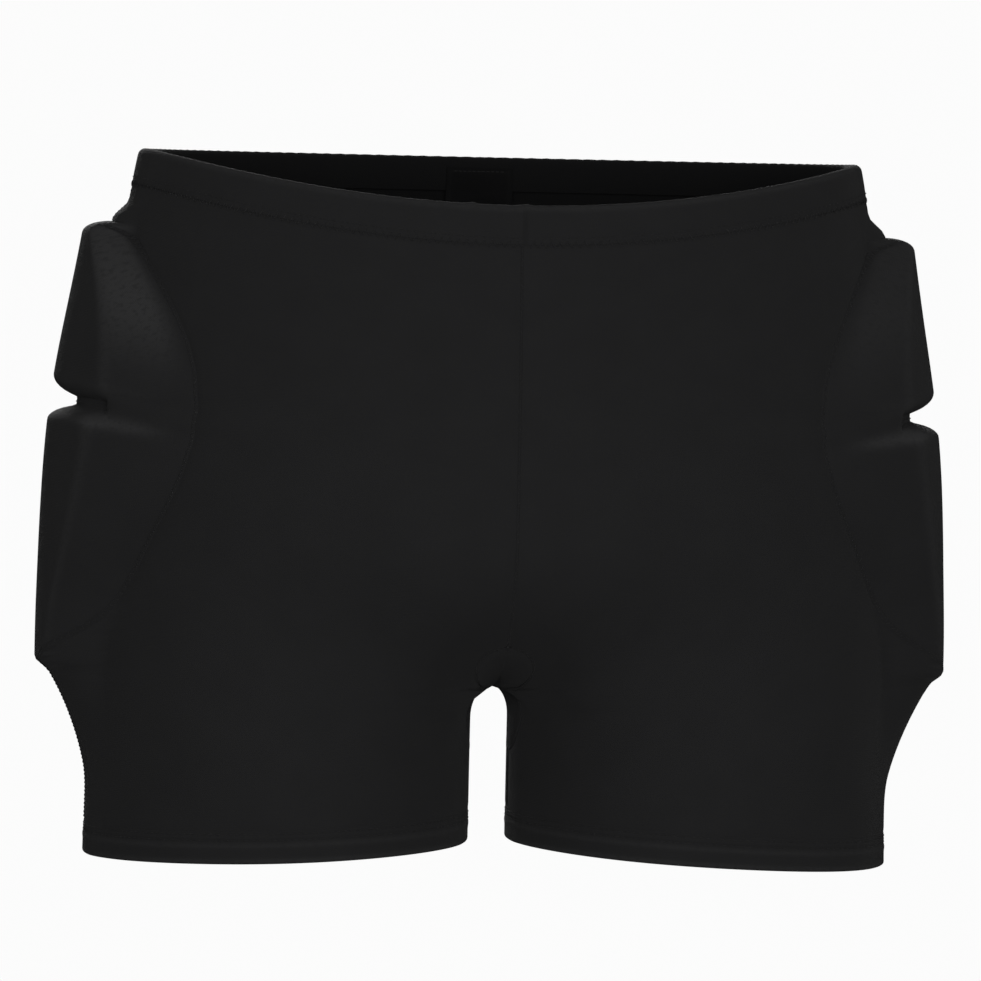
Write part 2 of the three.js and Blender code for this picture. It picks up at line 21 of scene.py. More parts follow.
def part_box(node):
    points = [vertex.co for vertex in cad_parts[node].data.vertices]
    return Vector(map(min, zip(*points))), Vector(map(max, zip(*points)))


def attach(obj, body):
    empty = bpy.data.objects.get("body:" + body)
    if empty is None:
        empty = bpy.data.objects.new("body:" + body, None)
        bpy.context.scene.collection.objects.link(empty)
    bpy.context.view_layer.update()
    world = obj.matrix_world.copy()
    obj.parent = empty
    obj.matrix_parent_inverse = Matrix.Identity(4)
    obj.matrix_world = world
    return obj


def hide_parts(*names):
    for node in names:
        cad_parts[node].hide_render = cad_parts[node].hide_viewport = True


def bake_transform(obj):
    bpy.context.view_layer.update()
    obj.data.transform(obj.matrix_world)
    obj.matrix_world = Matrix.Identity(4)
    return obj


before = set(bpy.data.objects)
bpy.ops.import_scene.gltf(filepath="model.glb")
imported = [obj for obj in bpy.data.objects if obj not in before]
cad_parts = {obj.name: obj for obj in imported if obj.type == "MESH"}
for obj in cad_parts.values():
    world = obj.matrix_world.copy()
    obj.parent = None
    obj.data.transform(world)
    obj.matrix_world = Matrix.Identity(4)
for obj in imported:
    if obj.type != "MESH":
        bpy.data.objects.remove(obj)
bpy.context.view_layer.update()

log = logging.getLogger("shorts")

MM = 0.001
SIDE_TURN = 0.5
PELVIS = "pelvis"

Array = np.ndarray
Colour = tuple[float, float, float]
Piece = bpy.types.Object
Socket = bpy.types.NodeSocket
# Starts, ends and outward directions of a row of stitches.
Run = tuple[Array, Array, Array]
# Gives the flip, turns and heights along a seam for an offset across it.
Spot = Callable[[float], tuple[int, Array, Array]]


class Side(Enum):
    """Which half of the shorts a piece belongs to, as the sign that the half's x takes."""

    RIGHT = 1
    LEFT = -1

    @property
    def word(self) -> str:
        """The side's name in lower case, as the pieces are named."""
        return self.name.lower()

    @property
    def leg(self) -> str:
        """The body that the side's leg belongs to."""
        return f"leg_{self.word}"


class Hold(Enum):
    """How a sheet of cloth is held."""

    STRETCHED = "stretched"
    FOLDED = "folded"
    HUNG = "hung"


def clamp01(value: Array) -> Array:
    """Value limited to the range from 0 to 1."""
    return np.clip(value, 0.0, 1.0)


def mix(first: Array, second: Array, share: Array) -> Array:
    """Straight mix from first, at share 0, to second, at share 1."""
    return first + (second - first) * share


def smooth(start: float, stop: float, value: Array) -> Array:
    """Smooth step from 0 at start to 1 at stop."""
    share = clamp01((value - start) / (stop - start))
    return share * share * (3 - 2 * share)


def round_end(distance: Array, radius: float) -> Array:
    """Quarter round that climbs from 0 at no distance to 1 at the radius."""
    return np.sqrt(np.maximum(0.0, 1 - (1 - clamp01(distance / radius)) ** 2))


def soft_min(first: Array, second: Array, width: float) -> Array:
    """Smaller of two values, with the corner between them rounded over a width."""
    share = clamp01(0.5 + 0.5 * (second - first) / width)
    return mix(second, first, share) - width * share * (1 - share)


def soft_max(first: Array, second: Array, width: float) -> Array:
    """Larger of two values, with the corner between them rounded over a width."""
    return -soft_min(-first, -second, width)


def bell(value: Array, middle: float, width: float) -> Array:
    """Bell curve of height 1 about a middle."""
    return np.exp(-(((value - middle) / width) ** 2))


def laid(along: Array, over: Array) -> Array:
    """Cloth coordinates from a distance along the weave and one across it."""
    return np.stack(np.broadcast_arrays(along, over, 0.0), axis=-1)


@dataclass(frozen=True)
class ShortsForm:
    """Bare outer surface of the shorts, without the pads. Sizes are in millimetres."""

    waist_rise: float = 243.0
    leg_length: float = 71.0
    waist_half_width: float = 165.5
    waist_front: float = 97.0
    waist_back: float = 100.0
    front_dip: float = 23.5
    dip_start: float = 123.0
    hip_height: float = 60.0
    hip_half_width: float = 186.0
    hip_front: float = 107.0
    hip_back: float = 126.0
    thigh_front: float = 94.0
    thigh_back: float = 98.0
    hem_half_width: float = 184.5
    hem_front: float = 90.0
    hem_back: float = 93.0
    leg_gap: float = 9.0
    gap_arch: float = 14.0
    crotch_curve: float = 75.0
    crotch_turn: float = 0.2
    thigh_start: float = 35.0
    hem_slant: float = 0.047
    band_height: float = 16.0
    hem_height: float = 15.0
    edge_run: float = 20.0

    @classmethod
    def measured(cls) -> "ShortsForm":
        """The form with the sizes of its hems and its waist rim read from the frame.

        Returns:
            The form.
        """
        low, high = (np.array(corner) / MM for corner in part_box("hem_band_right"))
        slant = cls.hem_slant * (high[0] - low[0])
        rim = np.array([v.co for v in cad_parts["waistband"].data.vertices]) / MM
        level = rim[rim[:, 2] > -1.0]
        return cls(
            leg_length=-low[2] - slant - cls.waist_rise,
            hem_half_width=-low[0],
            hem_front=-low[1],
            hem_back=high[1],
            leg_gap=-high[0],
            waist_half_width=level[:, 0].max(),
            waist_back=level[:, 1].max(),
        )

    @property
    def half_girth(self) -> float:
        """Length of cloth from the front centre to the back centre at the hips."""
        depth = (self.hip_front + self.hip_back) / 2
        return math.pi * math.sqrt((self.hip_half_width**2 + depth**2) / 2)

    @property
    def leg_girth(self) -> float:
        """Length of cloth round one hem."""
        width = self.hem_half_width - self.leg_gap
        return math.pi * (width + self.hem_front + self.hem_back) / 2

    @property
    def band_foot(self) -> float:
        """Height of the lower edge of the waistband casing."""
        return self.waist_rise - self.band_height

    @property
    def hem_top(self) -> float:
        """Height of the upper edge of the hem fold."""
        return self.hem_height - self.leg_length

    def lay(self, turn: Array, height: Array) -> Array:
        """Cloth coordinates that run on from one panel to the next."""
        return laid(turn * self.half_girth, height)

    def fall(self, height: Array) -> Array:
        """Share of the way from the outline of the waist to that of the hips."""
        drop = clamp01((self.waist_rise - height) / (self.waist_rise - self.hip_height))
        return np.sin(drop * math.pi / 2)

    def surface(self, turn: Array, height: Array) -> Array:
        """Points of the bare surface of the wearer's right half, before rim and hem are cut.

        Args:
            turn: Share of the way round the half, from the front centre to the back centre.
            height: Height above the crotch.

        Returns:
            Points with the crotch at the origin, in the last axis.
        """
        turn, height = np.broadcast_arrays(turn, height)
        fall = self.fall(height)
        front = turn < SIDE_TURN
        half = mix(self.waist_half_width, self.hip_half_width, fall)
        hip_depth = np.where(
            front,
            mix(self.waist_front, self.hip_front, fall),
            mix(self.waist_back, self.hip_back, fall),
        )
        down = smooth(self.hip_height, -self.leg_length, height)
        inner = self.leg_gap * round_end(-height, self.gap_arch)
        leg_half = (mix(self.hip_half_width, self.hem_half_width, down) - inner) / 2
        leg_depth = np.where(
            front,
            mix(self.thigh_front, self.hem_front, down),
            mix(self.thigh_back, self.hem_back, down),
        )
        seam_share = round_end(height, self.crotch_curve)
        body_share = smooth(-self.thigh_start, self.crotch_curve, height)
        from_seam = smooth(0, self.crotch_turn, np.minimum(turn, 1 - turn))
        share = mix(seam_share, body_share, from_seam)
        hip, leg = math.pi * turn, 2 * math.pi * turn
        x = mix(leg_half * np.cos(leg) - inner - leg_half, -half * np.sin(hip), share)
        y = mix(-leg_depth * np.sin(leg), -hip_depth * np.cos(hip), share)
        return np.stack([x, y, height], axis=-1)

    def normal(self, turn: Array, height: Array) -> Array:
        """Outward direction of the surface, which lies in the centre plane on its seams.

        Args:
            turn: Share of the way round the half.
            height: Height above the crotch.

        Returns:
            Unit vectors, in the last axis.
        """
        step, rise = 0.004, 1.5
        after, before = np.minimum(1, turn + step), np.maximum(0, turn - step)
        across = self.surface(after, height) - self.surface(before, height)
        up = self.surface(turn, height + rise) - self.surface(turn, height - rise)
        normal = np.cross(up, across)
        normal /= np.linalg.norm(normal, axis=-1, keepdims=True)
        on_seam = ((turn <= 0) | (turn >= 1)) & (height > 0)
        normal[..., 0] = np.where(on_seam, 0, normal[..., 0])
        near_hem = smooth(self.hem_top + self.edge_run, self.hem_top, height)
        near_band = smooth(self.band_foot - self.edge_run, self.band_foot, height)
        normal[..., 2] *= 1 - np.maximum(near_hem, near_band)
        return normal / np.linalg.norm(normal, axis=-1, keepdims=True)

    def layer(self, flip: Array, turn: Array, height: Array, depth: Array) -> Array:
        """Points outside (+) or inside (-) the surface, with the rim and the hem cut to line.

        Args:
            flip: 1 on the wearer's right half and -1 on the left half.
            turn: Share of the way round the half.
            height: Height above the crotch.
            depth: Distance from the bare surface.

        Returns:
            Points in the frame of the shorts, in millimetres.
        """
        flip, turn, height, depth = np.broadcast_arrays(flip, turn, height, depth)
        points = self.surface(turn, height)
        points = points + self.normal(turn, height) * depth[..., None]
        front = mix(self.waist_front, self.hip_front, self.fall(height))
        dip = np.where(points[..., 1] < 0, self.front_dip * (points[..., 1] / front) ** 2, 0)
        slant = self.hem_slant * (np.abs(points[..., 0]) - self.leg_gap)
        points[..., 2] -= self.waist_rise
        points[..., 2] -= dip * smooth(self.dip_start, self.band_foot, height)
        points[..., 2] -= slant * smooth(0, self.hem_top, height)
        points[..., 0] *= flip
        return points


@dataclass(frozen=True)
class Wear:
    """Weights of raised fibres and painted highlights on the hip covers, and the face's share on
    the left half.
    """

    face: float = 0.85
    ridge: float = 0.3
    lips: float = 0.3
    corner: float = 0.9
    ledge: float = 0.5
    # Share of the face mark on the left half. It is lower because that half is turned away from the
    # key light and gets less painted highlight.
    left: float = 0.35


@dataclass(frozen=True)
class HipShape:
    """Lens-shaped hip cover and how far it stands out over the two hip pads."""

    form: ShortsForm
    top: float = 209.0
    foot: float = 2.0
    widest: float = 123.0
    half_width: float = 105.0
    top_bluntness: float = 0.55
    foot_bluntness: float = 1.1
    rise_top: float = 19.5
    rise_foot: float = 24.0
    upper_ridge: float = 0.6
    lower_ridge: float = 0.52
    ridge_softness: float = 0.14
    groove: float = 126.0
    groove_half_width: float = 1.4
    groove_floor: float = 9.0
    groove_dip: float = 6.0
    upper_round: float = 10.0
    lower_round: float = 8.0
    top_round: float = 8.0
    pad_foot: float = 9.0
    taper: float = 54.0
    fairing: float = 7.0
    tent: float = 34.0
    lip: float = 2.0
    bridge: float = 0.88
    foot_step: float = 0.14
    taper_curve: float = 1.6
    dip_start: float = 0.35
    band_clear: float = 5.6
    ridge_join: float = 6.0
    wear: Wear = Wear()

    def half(self, height: Array) -> Array:
        """Half width of the cover along the cloth.

        Args:
            height: Height above the crotch.

        Returns:
            Distance along the cloth, in millimetres.
        """
        upper = height > self.widest
        reach = np.where(upper, self.top - self.widest, self.widest - self.foot)
        share = clamp01(np.abs(height - self.widest) / reach)
        bluntness = np.where(upper, self.top_bluntness, self.foot_bluntness)
        return self.half_width * np.maximum(0, 1 - share * share) ** bluntness

    def edge(self, height: Array, distance: float) -> tuple[Array, Array]:
        """Turn and height beside the cover's front edge, outside (+) or inside (-) it.

        Args:
            height: Height of a spot on the edge.
            distance: How far the new spot lies outside (+) or inside (-) the edge.

        Returns:
            Turn and height of each new spot.
        """
        step = 0.05
        slope = (self.half(height + step) - self.half(height - step)) / (2 * step)
        length = np.hypot(1, slope)
        turn = SIDE_TURN - (self.half(height) + distance / length) / self.form.half_girth
        return turn, height - slope * distance / length

    def across(self, turn: Array, height: Array) -> Array:
        """Share of the way from the middle of the pads to the edge of the raised cloth.

        Args:
            turn: Share of the way round the half.
            height: Height above the crotch.

        Returns:
            0 in the middle, and 1 at the edge.
        """
        tent = self.tent * np.maximum(
            smooth(self.form.hip_height, self.pad_foot, height),
            smooth(self.top - self.top_round, self.top, height),
        )
        reach = np.maximum(np.hypot(self.half(height), tent), 1e-6)
        return np.abs(turn - SIDE_TURN) * self.form.half_girth / reach

    def dip(self, across: Array) -> Array:
        """How far the fold between the pads dips, at a share of the way to the cover's edge."""
        return self.groove_dip * smooth(self.dip_start, 1, across)

    def groove_level(self, turn: Array, height: Array) -> Array:
        """Height above the fold between the pads."""
        return height + self.dip(self.across(turn, height)) - self.groove

    def ridge(self, level: Array) -> Array:
        """Share of the way across where the cloth turns, at a height above the fold."""
        join = smooth(-self.ridge_join, self.ridge_join, level)
        return mix(self.lower_ridge, self.upper_ridge, join)

    def rise(self, turn: Array, height: Array) -> Array:
        """How far the cloth stands out over the hip pads.

        Args:
            turn: Share of the way round the half.
            height: Height above the crotch.

        Returns:
            Distance outside the bare surface.
        """
        level, across = self.groove_level(turn, height), self.across(turn, height)
        above_foot = height - self.pad_foot
        down = (self.top - height) / (self.top - self.pad_foot)
        full = mix(self.rise_top, self.rise_foot, down)
        upper = round_end(self.top - height, self.top_round)
        upper = upper * round_end(level - self.groove_half_width, self.upper_round)
        lower = round_end(-self.groove_half_width - level, self.lower_round)
        lower = lower * clamp01((above_foot + self.taper) / self.taper) ** self.taper_curve
        lower = lower * (1 - self.foot_step * smooth(2, -5, above_foot))
        floor = self.groove_floor * smooth(self.top + 1, self.top - 3, height)
        floor = floor * smooth(self.pad_foot + 10, self.form.hip_height + 10, height)
        fairing = self.fairing * smooth(self.form.band_foot - self.band_clear, self.top, height)
        fairing = np.where(height > self.widest, fairing, 0)
        along = np.maximum(soft_max(full * upper, full * lower, self.lip), fairing)
        along = soft_max(along, floor, self.lip)
        bridge = self.bridge * full * smooth(0.36, 0.66, across)
        along = soft_max(along, bridge * smooth(30, 20, np.abs(level)), self.lip / 2)
        slope = (1 - across) / (1 - self.ridge(level))
        return along * np.maximum(0, soft_min(np.ones_like(slope), slope, self.ridge_softness))

    def nap_and_painted_light(self, side: Side, turn: Array, height: Array) -> Array:
        """Lighter marks on a hip cover: raised fibres and a painted highlight on the upper pad's
        face, and painted highlights along ridges and the fold's lips.

        Args:
            side: Which half of the shorts.
            turn: Share of the way round the half.
            height: Height above the crotch.

        Returns:
            Share of the lighter colour, for raised fibres and painted highlights.
        """
        across, level = self.across(turn, height), self.groove_level(turn, height)
        ridge, wear = self.ridge(level), self.wear
        below_top = smooth(self.top + 2, self.top - 6, height)
        # Upper pad's front face: raised fibres, with a painted highlight where the face turns to
        # the key light.
        face = smooth(self.upper_ridge - 0.05, self.upper_ridge + 0.08, across)
        face = face * smooth(1.0, 0.86, across) * (smooth(13, 56, level) * below_top)
        on_pad = smooth(0, self.pad_foot, height) * below_top
        # Painted highlight along the ridge between the side and the front of each pad.
        ridge_highlight = bell(across, ridge, 0.035) * on_pad * smooth(2, 6, np.abs(level))
        lower_lip, upper_lip = -self.groove_half_width, self.groove_half_width
        # Painted highlights along the lips of the fold between the pads.
        lips = bell(level, lower_lip - 5.5, 2.2) + 0.6 * bell(level, upper_lip + 7, 2.5)
        lips = lips * smooth(0.9, 0.6, across)
        # Painted bright mark where the lower lip meets the ridge.
        corner = bell(level, lower_lip - 4, 4) * bell(across, ridge, 0.07)
        # Painted highlight along the lower lip, across the front face.
        ledge = bell(level, lower_lip - 4, 3) * smooth(ridge, ridge + 0.05, across)
        ledge = ledge * smooth(0.95, 0.7, across)
        # The left half is turned away from the key light, so it gets less of the face's painted
        # highlight.
        share = 1.0 if side is Side.RIGHT else wear.left
        nap_and_highlight_share = share * wear.face * face + wear.ridge * ridge_highlight + wear.lips * lips
        return nap_and_highlight_share + wear.corner * corner + wear.ledge * ledge


@dataclass(frozen=True)
class SeatShape:
    """How far the back panels stand out over the seat pads and the tailbone pad."""

    form: ShortsForm
    hip: HipShape
    rise_height: float = 9.0
    low: float = 30.0
    high: float = 110.0
    first: float = 2.0
    last: float = 6.0
    tail: float = 7.0
    tail_low: float = 124.0
    tail_high: float = 188.0
    ramp: float = 10.0
    steps: float = 8.0

    def column(self, turn: Array, height: Array) -> Array:
        """Steps across a back panel, from the hip cover (0) to the back centre."""
        edge = SIDE_TURN - self.hip.half(height) / self.form.half_girth
        return self.steps * (1 - clamp01((1 - turn) / edge))

    def rise(self, turn: Array, height: Array) -> Array:
        """Height of the cloth over the pads, with rounded shoulders.

        Args:
            turn: Share of the way round the half.
            height: Height above the crotch.

        Returns:
            Distance outside the bare surface.
        """
        column = self.column(turn, height)

        def climb(low: float, high: float) -> Array:
            """Steps inside the pad's lower and upper edges, each a ramp long."""
            return np.minimum(height - low, high - height) / self.ramp + 1

        seat = np.minimum(column - self.first + 1, self.last - column + 1)
        seat = soft_min(seat, climb(self.low, self.high), 0.5)
        tail = soft_min(column - self.tail + 1, climb(self.tail_low, self.tail_high), 0.5)
        share = smooth(0, 1, soft_max(seat, tail, 0.2))
        return np.where(turn > SIDE_TURN, self.rise_height * share, 0)


@dataclass(frozen=True)
class Drape:
    """Small undulations of stretch cloth on the wearer. Heights and lengths are in millimetres."""

    form: ShortsForm
    hip: HipShape
    broad: float = 0.45
    pull: float = 0.7
    crotch_fold: float = 0.9
    seat_crease: float = 1.3
    hem_wave: float = 0.7
    hem_waves: int = 5
    left_shift: float = 2.1

    def ripple(self, flip: Array, turn: Array, height: Array) -> Array:
        """Outward movement of the cloth, the same on both halves along the centre seams.

        Args:
            flip: 1 on the wearer's right half and -1 on the left half.
            turn: Share of the way round the half.
            height: Height above the crotch.

        Returns:
            Distance outside the cloth at rest.
        """
        girth = self.form.half_girth
        length, centre = turn * girth, np.minimum(turn, 1 - turn) * girth
        own = smooth(0, 30, centre) * np.where(flip > 0, 0.0, self.left_shift)
        broad = np.sin(length / 23 + height / 31 + own) + 0.7 * np.sin(height / 17 - length / 41)
        broad = self.broad * broad * smooth(4, 40, centre)
        away = np.abs(turn - SIDE_TURN) * girth - self.hip.half(height)
        level = height - self.hip.groove + self.hip.groove_dip
        pull = np.cos(level / (2.4 + 0.035 * np.maximum(away, 0)))
        pull = self.pull * pull * bell(away, 8, 26) * bell(level, 0, 22) * smooth(0, 20, centre)
        front = smooth(0.34, 0.22, turn)
        vee = np.cos((height + 0.8 * centre - 16) / 5.5) * bell(height + 0.55 * centre, 24, 26)
        vee = self.crotch_fold * vee * front * smooth(5, 24, centre) * smooth(75, 40, centre)
        slanted = height + 0.12 * centre
        crease = 0.6 * bell(slanted, 5, 8) - bell(slanted, 16, 6)
        crease = self.seat_crease * crease * smooth(0.62, 0.72, turn) * smooth(10, 40, centre)
        wave = np.sin(2 * math.pi * turn * self.hem_waves + own) * smooth(10, -50, height)
        wave = self.hem_wave * wave * smooth(0, 40, centre)
        settled = smooth(self.form.band_foot, self.form.band_foot - 30, height)
        return (broad + pull + vee + crease + wave) * settled


@dataclass(frozen=True)
class Skin:
    """Outer face of the shell cloth, over the pads and with its undulations."""

    form: ShortsForm
    hip: HipShape
    seat: SeatShape
    drape: Drape

    @classmethod
    def fitted(cls) -> "Skin":
        """The skin round the form that the frame holds.

        Returns:
            The skin.
        """
        form = ShortsForm.measured()
        hip = HipShape(form)
        return cls(form, hip, SeatShape(form, hip), Drape(form, hip))

    def points(self, flip: Array, turn: Array, height: Array, depth: Array = 0.0) -> Array:
        """Points at a depth from the outer face of the cloth.

        Args:
            flip: 1 on the wearer's right half and -1 on the left half.
            turn: Share of the way round the half.
            height: Height above the crotch.
            depth: Distance outside (+) or inside (-) the outer face.

        Returns:
            Points in the frame of the shorts, in millimetres.
        """
        stand = self.hip.rise(turn, height) + self.seat.rise(turn, height)
        stand = stand + self.drape.ripple(flip, turn, height)
        return self.form.layer(flip, turn, height, stand + depth)


def arc(points: Array) -> Array:
    """Length from the first column to each column, along each row of a grid of points."""
    steps = np.linalg.norm(np.diff(points, axis=1), axis=-1)
    return np.concatenate([np.zeros((len(points), 1)), np.cumsum(steps, axis=1)], axis=1)


def grid_faces(rows: int, columns: int, wrap_rows: bool, wrap_columns: bool) -> Array:
    """Four-cornered faces of a grid of points, which may close on itself either way.

    Args:
        rows: Number of rows of points.
        columns: Number of points in a row.
        wrap_rows: Whether the last row joins the first.
        wrap_columns: Whether the last point of a row joins its first.

    Returns:
        Four point numbers for each face.
    """
    r, c = np.meshgrid(
        np.arange(rows if wrap_rows else rows - 1),
        np.arange(columns if wrap_columns else columns - 1),
        indexing="ij",
    )
    below, beside = (r + 1) % rows, (c + 1) % columns
    corners = [r * columns + c, r * columns + beside, below * columns + beside, below * columns + c]
    return np.stack(corners, axis=-1).reshape(-1, 4)


@dataclass
class Cut:
    """A closed mesh being made, with the cloth coordinates that its finish reads."""

    name: str
    points: Array
    faces: list[list[int]]
    weave: Array
    nap_and_painted_light: Array | None = None
    sharp_angle: float = 50.0

    def finish(self) -> Piece:
        """Make the Blender object, with its faces turned outward.

        Returns:
            The new object, linked to the scene.
        """
        points = self.points.reshape(-1, 3) * MM
        mesh = bpy.data.meshes.new(self.name)
        mesh.from_pydata(points.tolist(), [], [list(map(int, face)) for face in self.faces])
        mesh.update()
        if self.inside_out(mesh):
            mesh.flip_normals()
        for name, kind, values in (
            ("weave", "FLOAT_VECTOR", self.weave.reshape(-1, 3)),
            ("nap_and_painted_light", "FLOAT", np.zeros(len(points)) if self.nap_and_painted_light is None else self.nap_and_painted_light),
        ):
            layer = mesh.attributes.new(name, kind, "POINT")
            key = "vector" if kind == "FLOAT_VECTOR" else "value"
            layer.data.foreach_set(key, values.astype(np.float32).ravel())
        mesh.polygons.foreach_set("use_smooth", np.ones(len(mesh.polygons), bool))
        mesh.set_sharp_from_angle(angle=math.radians(self.sharp_angle))
        piece = bpy.data.objects.new(f"soft_{self.name}", mesh)
        bpy.context.scene.collection.objects.link(piece)
        return piece

    @staticmethod
    def inside_out(mesh: bpy.types.Mesh) -> bool:
        """Whether the faces of a closed mesh point inward.

        Args:
            mesh: The mesh.

        Returns:
            True if its volume comes out below zero.
        """
        shape = bmesh.new()
        shape.from_mesh(mesh)
        volume = shape.calc_volume(signed=True)
        shape.free()
        return volume < 0

    @classmethod
    def sheet(cls, name: str, outer: Array, inner: Array, nap_and_painted_light: Array | None = None,
              lay: Array | None = None) -> "Cut":
        """Closed cloth between two grids of points.

        Args:
            name: Name of the piece.
            outer: Rows and columns of points of the outer face.
            inner: The same of the inner face.
            nap_and_painted_light: Lighter mark at each point of the outer face, for raised fibres
            and painted highlights. The inner face is marked -1, which the shell cloth paints in
            painted shade.
            lay: Cloth coordinates of each point, or None to lay the weave along the rows.

        Returns:
            The cut piece.
        """
        rows, columns = outer.shape[:2]
        count = rows * columns
        faces = grid_faces(rows, columns, False, False)
        index = np.arange(count).reshape(rows, columns)
        rim = np.concatenate(
            [index[0, :-1], index[:-1, -1], index[-1, :0:-1], index[:0:-1, 0]]
        )
        after = np.roll(rim, -1)
        walls = np.stack([rim, rim + count, after + count, after], axis=-1)
        both = np.concatenate([faces, faces[:, ::-1] + count, walls])
        if lay is None:
            along = arc(outer)
            lay = laid(along - along.mean(axis=1, keepdims=True), outer[..., 2])
        weave = lay.reshape(-1, 3)
        # Inner faces are marked -1, which the shell cloth paints in a darker painted shade.
        flat = None if nap_and_painted_light is None else np.concatenate([nap_and_painted_light.ravel(), np.full(nap_and_painted_light.size, -1.0)])
        points = np.concatenate([outer.reshape(-1, 3), inner.reshape(-1, 3)])
        return cls(name, points, both.tolist(), np.concatenate([weave, weave]), flat)

    @classmethod
    def tube(cls, name: str, sections: Array, closed: bool, nap_and_painted_light: Array | None = None) -> "Cut":
        """Tube through a row of sections: a closed ring, or a strip capped at both ends.

        Args:
            name: Name of the piece.
            sections: The sections, each with the same number of points.
            closed: Whether the last section joins the first.
            nap_and_painted_light: Mark at each point of a section: painted highlights above 0, and
                painted shade below 0.

        Returns:
            The cut piece.
        """
        steps, size = sections.shape[:2]
        faces = grid_faces(steps, size, closed, True).tolist()
        if not closed:
            faces.append(list(range(size))[::-1])
            faces.append([(steps - 1) * size + i for i in range(size)])
        weave = laid(arc(sections.transpose(1, 0, 2)).T, arc(sections))
        flat = None if nap_and_painted_light is None else np.broadcast_to(nap_and_painted_light, (steps, size)).ravel()
        return cls(name, sections, faces, weave, flat, 50.0 if closed else 60.0)


class Graph:
    """Shader nodes of one finish, ending in a single surface shader."""

    def __init__(self, name: str) -> None:
        """Start a finish with its surface shader and its output.

        Args:
            name: Name of the finish.
        """
        self.material = bpy.data.materials.new(name)
        self.material.use_nodes = True
        self.tree = self.material.node_tree
        self.tree.nodes.clear()
        self.surface = self.node("ShaderNodeBsdfPrincipled")
        output = self.node("ShaderNodeOutputMaterial")
        self.tree.links.new(self.surface.outputs[0], output.inputs["Surface"])

    def node(self, kind: str, **settings: object) -> bpy.types.Node:
        """Add one node and set its own properties.

        Args:
            kind: Type of the node.
            settings: Its properties, by name.

        Returns:
            The new node.
        """
        made = self.tree.nodes.new(kind)
        for key, value in settings.items():
            setattr(made, key, value)
        return made

    def feed(self, socket: Socket, value: object) -> None:
        """Give a socket a constant, or link another node's output to it."""
        if isinstance(value, Socket):
            self.tree.links.new(value, socket)
        else:
            socket.default_value = value

    def set(self, **values: object) -> None:
        """Feed the surface shader's sockets, named in lower case with underscores."""
        names = {socket.name.lower().replace(" ", "_"): socket for socket in self.surface.inputs}
        for key, value in values.items():
            self.feed(names[key], value)

    def math(self, operation: str, *values: object) -> Socket:
        """Result of one sum on numbers or on other outputs.

        Args:
            operation: Name of the sum.
            values: Its inputs, in order.

        Returns:
            The result.
        """
        made = self.node("ShaderNodeMath", operation=operation)
        for socket, value in zip(made.inputs, values):
            self.feed(socket, value)
        return made.outputs[0]

    def scaled(self, value: object, factor: object, more: object | None = None) -> Socket:
        """Value times a factor, with something added if it is given."""
        if more is None:
            return self.math("MULTIPLY", value, factor)
        return self.math("MULTIPLY_ADD", value, factor, more)

    def remap(self, value: Socket, *ends: float) -> Socket:
        """Value moved from one range (the first two ends) to another (the last two).

        Args:
            value: The number to move.
            ends: Ends of the two ranges.

        Returns:
            The moved number.
        """
        made = self.node("ShaderNodeMapRange", interpolation_type="SMOOTHSTEP")
        self.feed(made.inputs[0], value)
        for socket, end in zip(made.inputs[1:5], ends):
            self.feed(socket, end)
        return made.outputs[0]

    def cloth(self) -> tuple[Socket, Socket, Socket]:
        """Cloth coordinates in millimetres: the vector, and its first two parts.

        Returns:
            The vector, its distance along the cloth and its distance across.
        """
        read = self.node("ShaderNodeAttribute", attribute_name="weave").outputs["Vector"]
        parts = self.node("ShaderNodeSeparateXYZ")
        self.feed(parts.inputs[0], read)
        return read, parts.outputs[0], parts.outputs[1]

    def nap_and_painted_light(self) -> Socket:
        """Mark at each point: raised fibres and painted highlights above 0, painted shade of inner
        faces below 0, and the woven border on the label.
        """
        return self.node("ShaderNodeAttribute", attribute_name="nap_and_painted_light").outputs["Fac"]

    def noise(self, vector: Socket, scale: float, detail: float = 3.0) -> Socket:
        """Cloudy noise from 0 to 1 at a number of clouds for each millimetre.

        Args:
            vector: Where the noise is read.
            scale: Clouds for each millimetre.
            detail: How many finer layers are added.

        Returns:
            The noise.
        """
        made = self.node("ShaderNodeTexNoise")
        self.feed(made.inputs["Vector"], vector)
        self.feed(made.inputs["Scale"], scale)
        self.feed(made.inputs["Detail"], detail)
        return made.outputs["Fac"]

    def cells(self, vector: Socket, scale: float, feature: str) -> Socket:
        """Distance in a pattern of cells, at a number of cells for each millimetre.

        Args:
            vector: Where the pattern is read.
            scale: Cells for each millimetre.
            feature: Which distance is measured.

        Returns:
            The distance.
        """
        made = self.node("ShaderNodeTexVoronoi", feature=feature)
        self.feed(made.inputs["Vector"], vector)
        self.feed(made.inputs["Scale"], scale)
        return made.outputs["Distance"]

    def blend(self, share: Socket, first: object, second: object) -> Socket:
        """Colour mixed from the first, at share 0, to the second, at share 1.

        Args:
            share: Share of the second colour.
            first: First colour.
            second: Second colour.

        Returns:
            The mixed colour.
        """
        made = self.node("ShaderNodeMix", data_type="RGBA")
        self.feed(made.inputs[0], share)
        for socket, value in ((made.inputs[6], first), (made.inputs[7], second)):
            self.feed(socket, value if isinstance(value, Socket) else (*value, 1.0))
        return made.outputs[2]

    def bump(self, height: Socket, depth_mm: float) -> None:
        """Raise the surface by a pattern of a real depth.

        Args:
            height: The pattern, from 0 to 1.
            depth_mm: Its depth in millimetres.
        """
        made = self.node("ShaderNodeBump")
        self.feed(made.inputs["Strength"], 0.7)
        self.feed(made.inputs["Distance"], depth_mm * MM)
        self.feed(made.inputs["Height"], height)
        self.feed(self.surface.inputs["Normal"], made.outputs[0])

    def stripes(self, value: Socket, pitch: float) -> Socket:
        """Round ribs from 0 to 1 at a pitch in millimetres."""
        wave = self.math("SINE", self.scaled(value, 2 * math.pi / pitch))
        return self.scaled(wave, 0.5, 0.5)


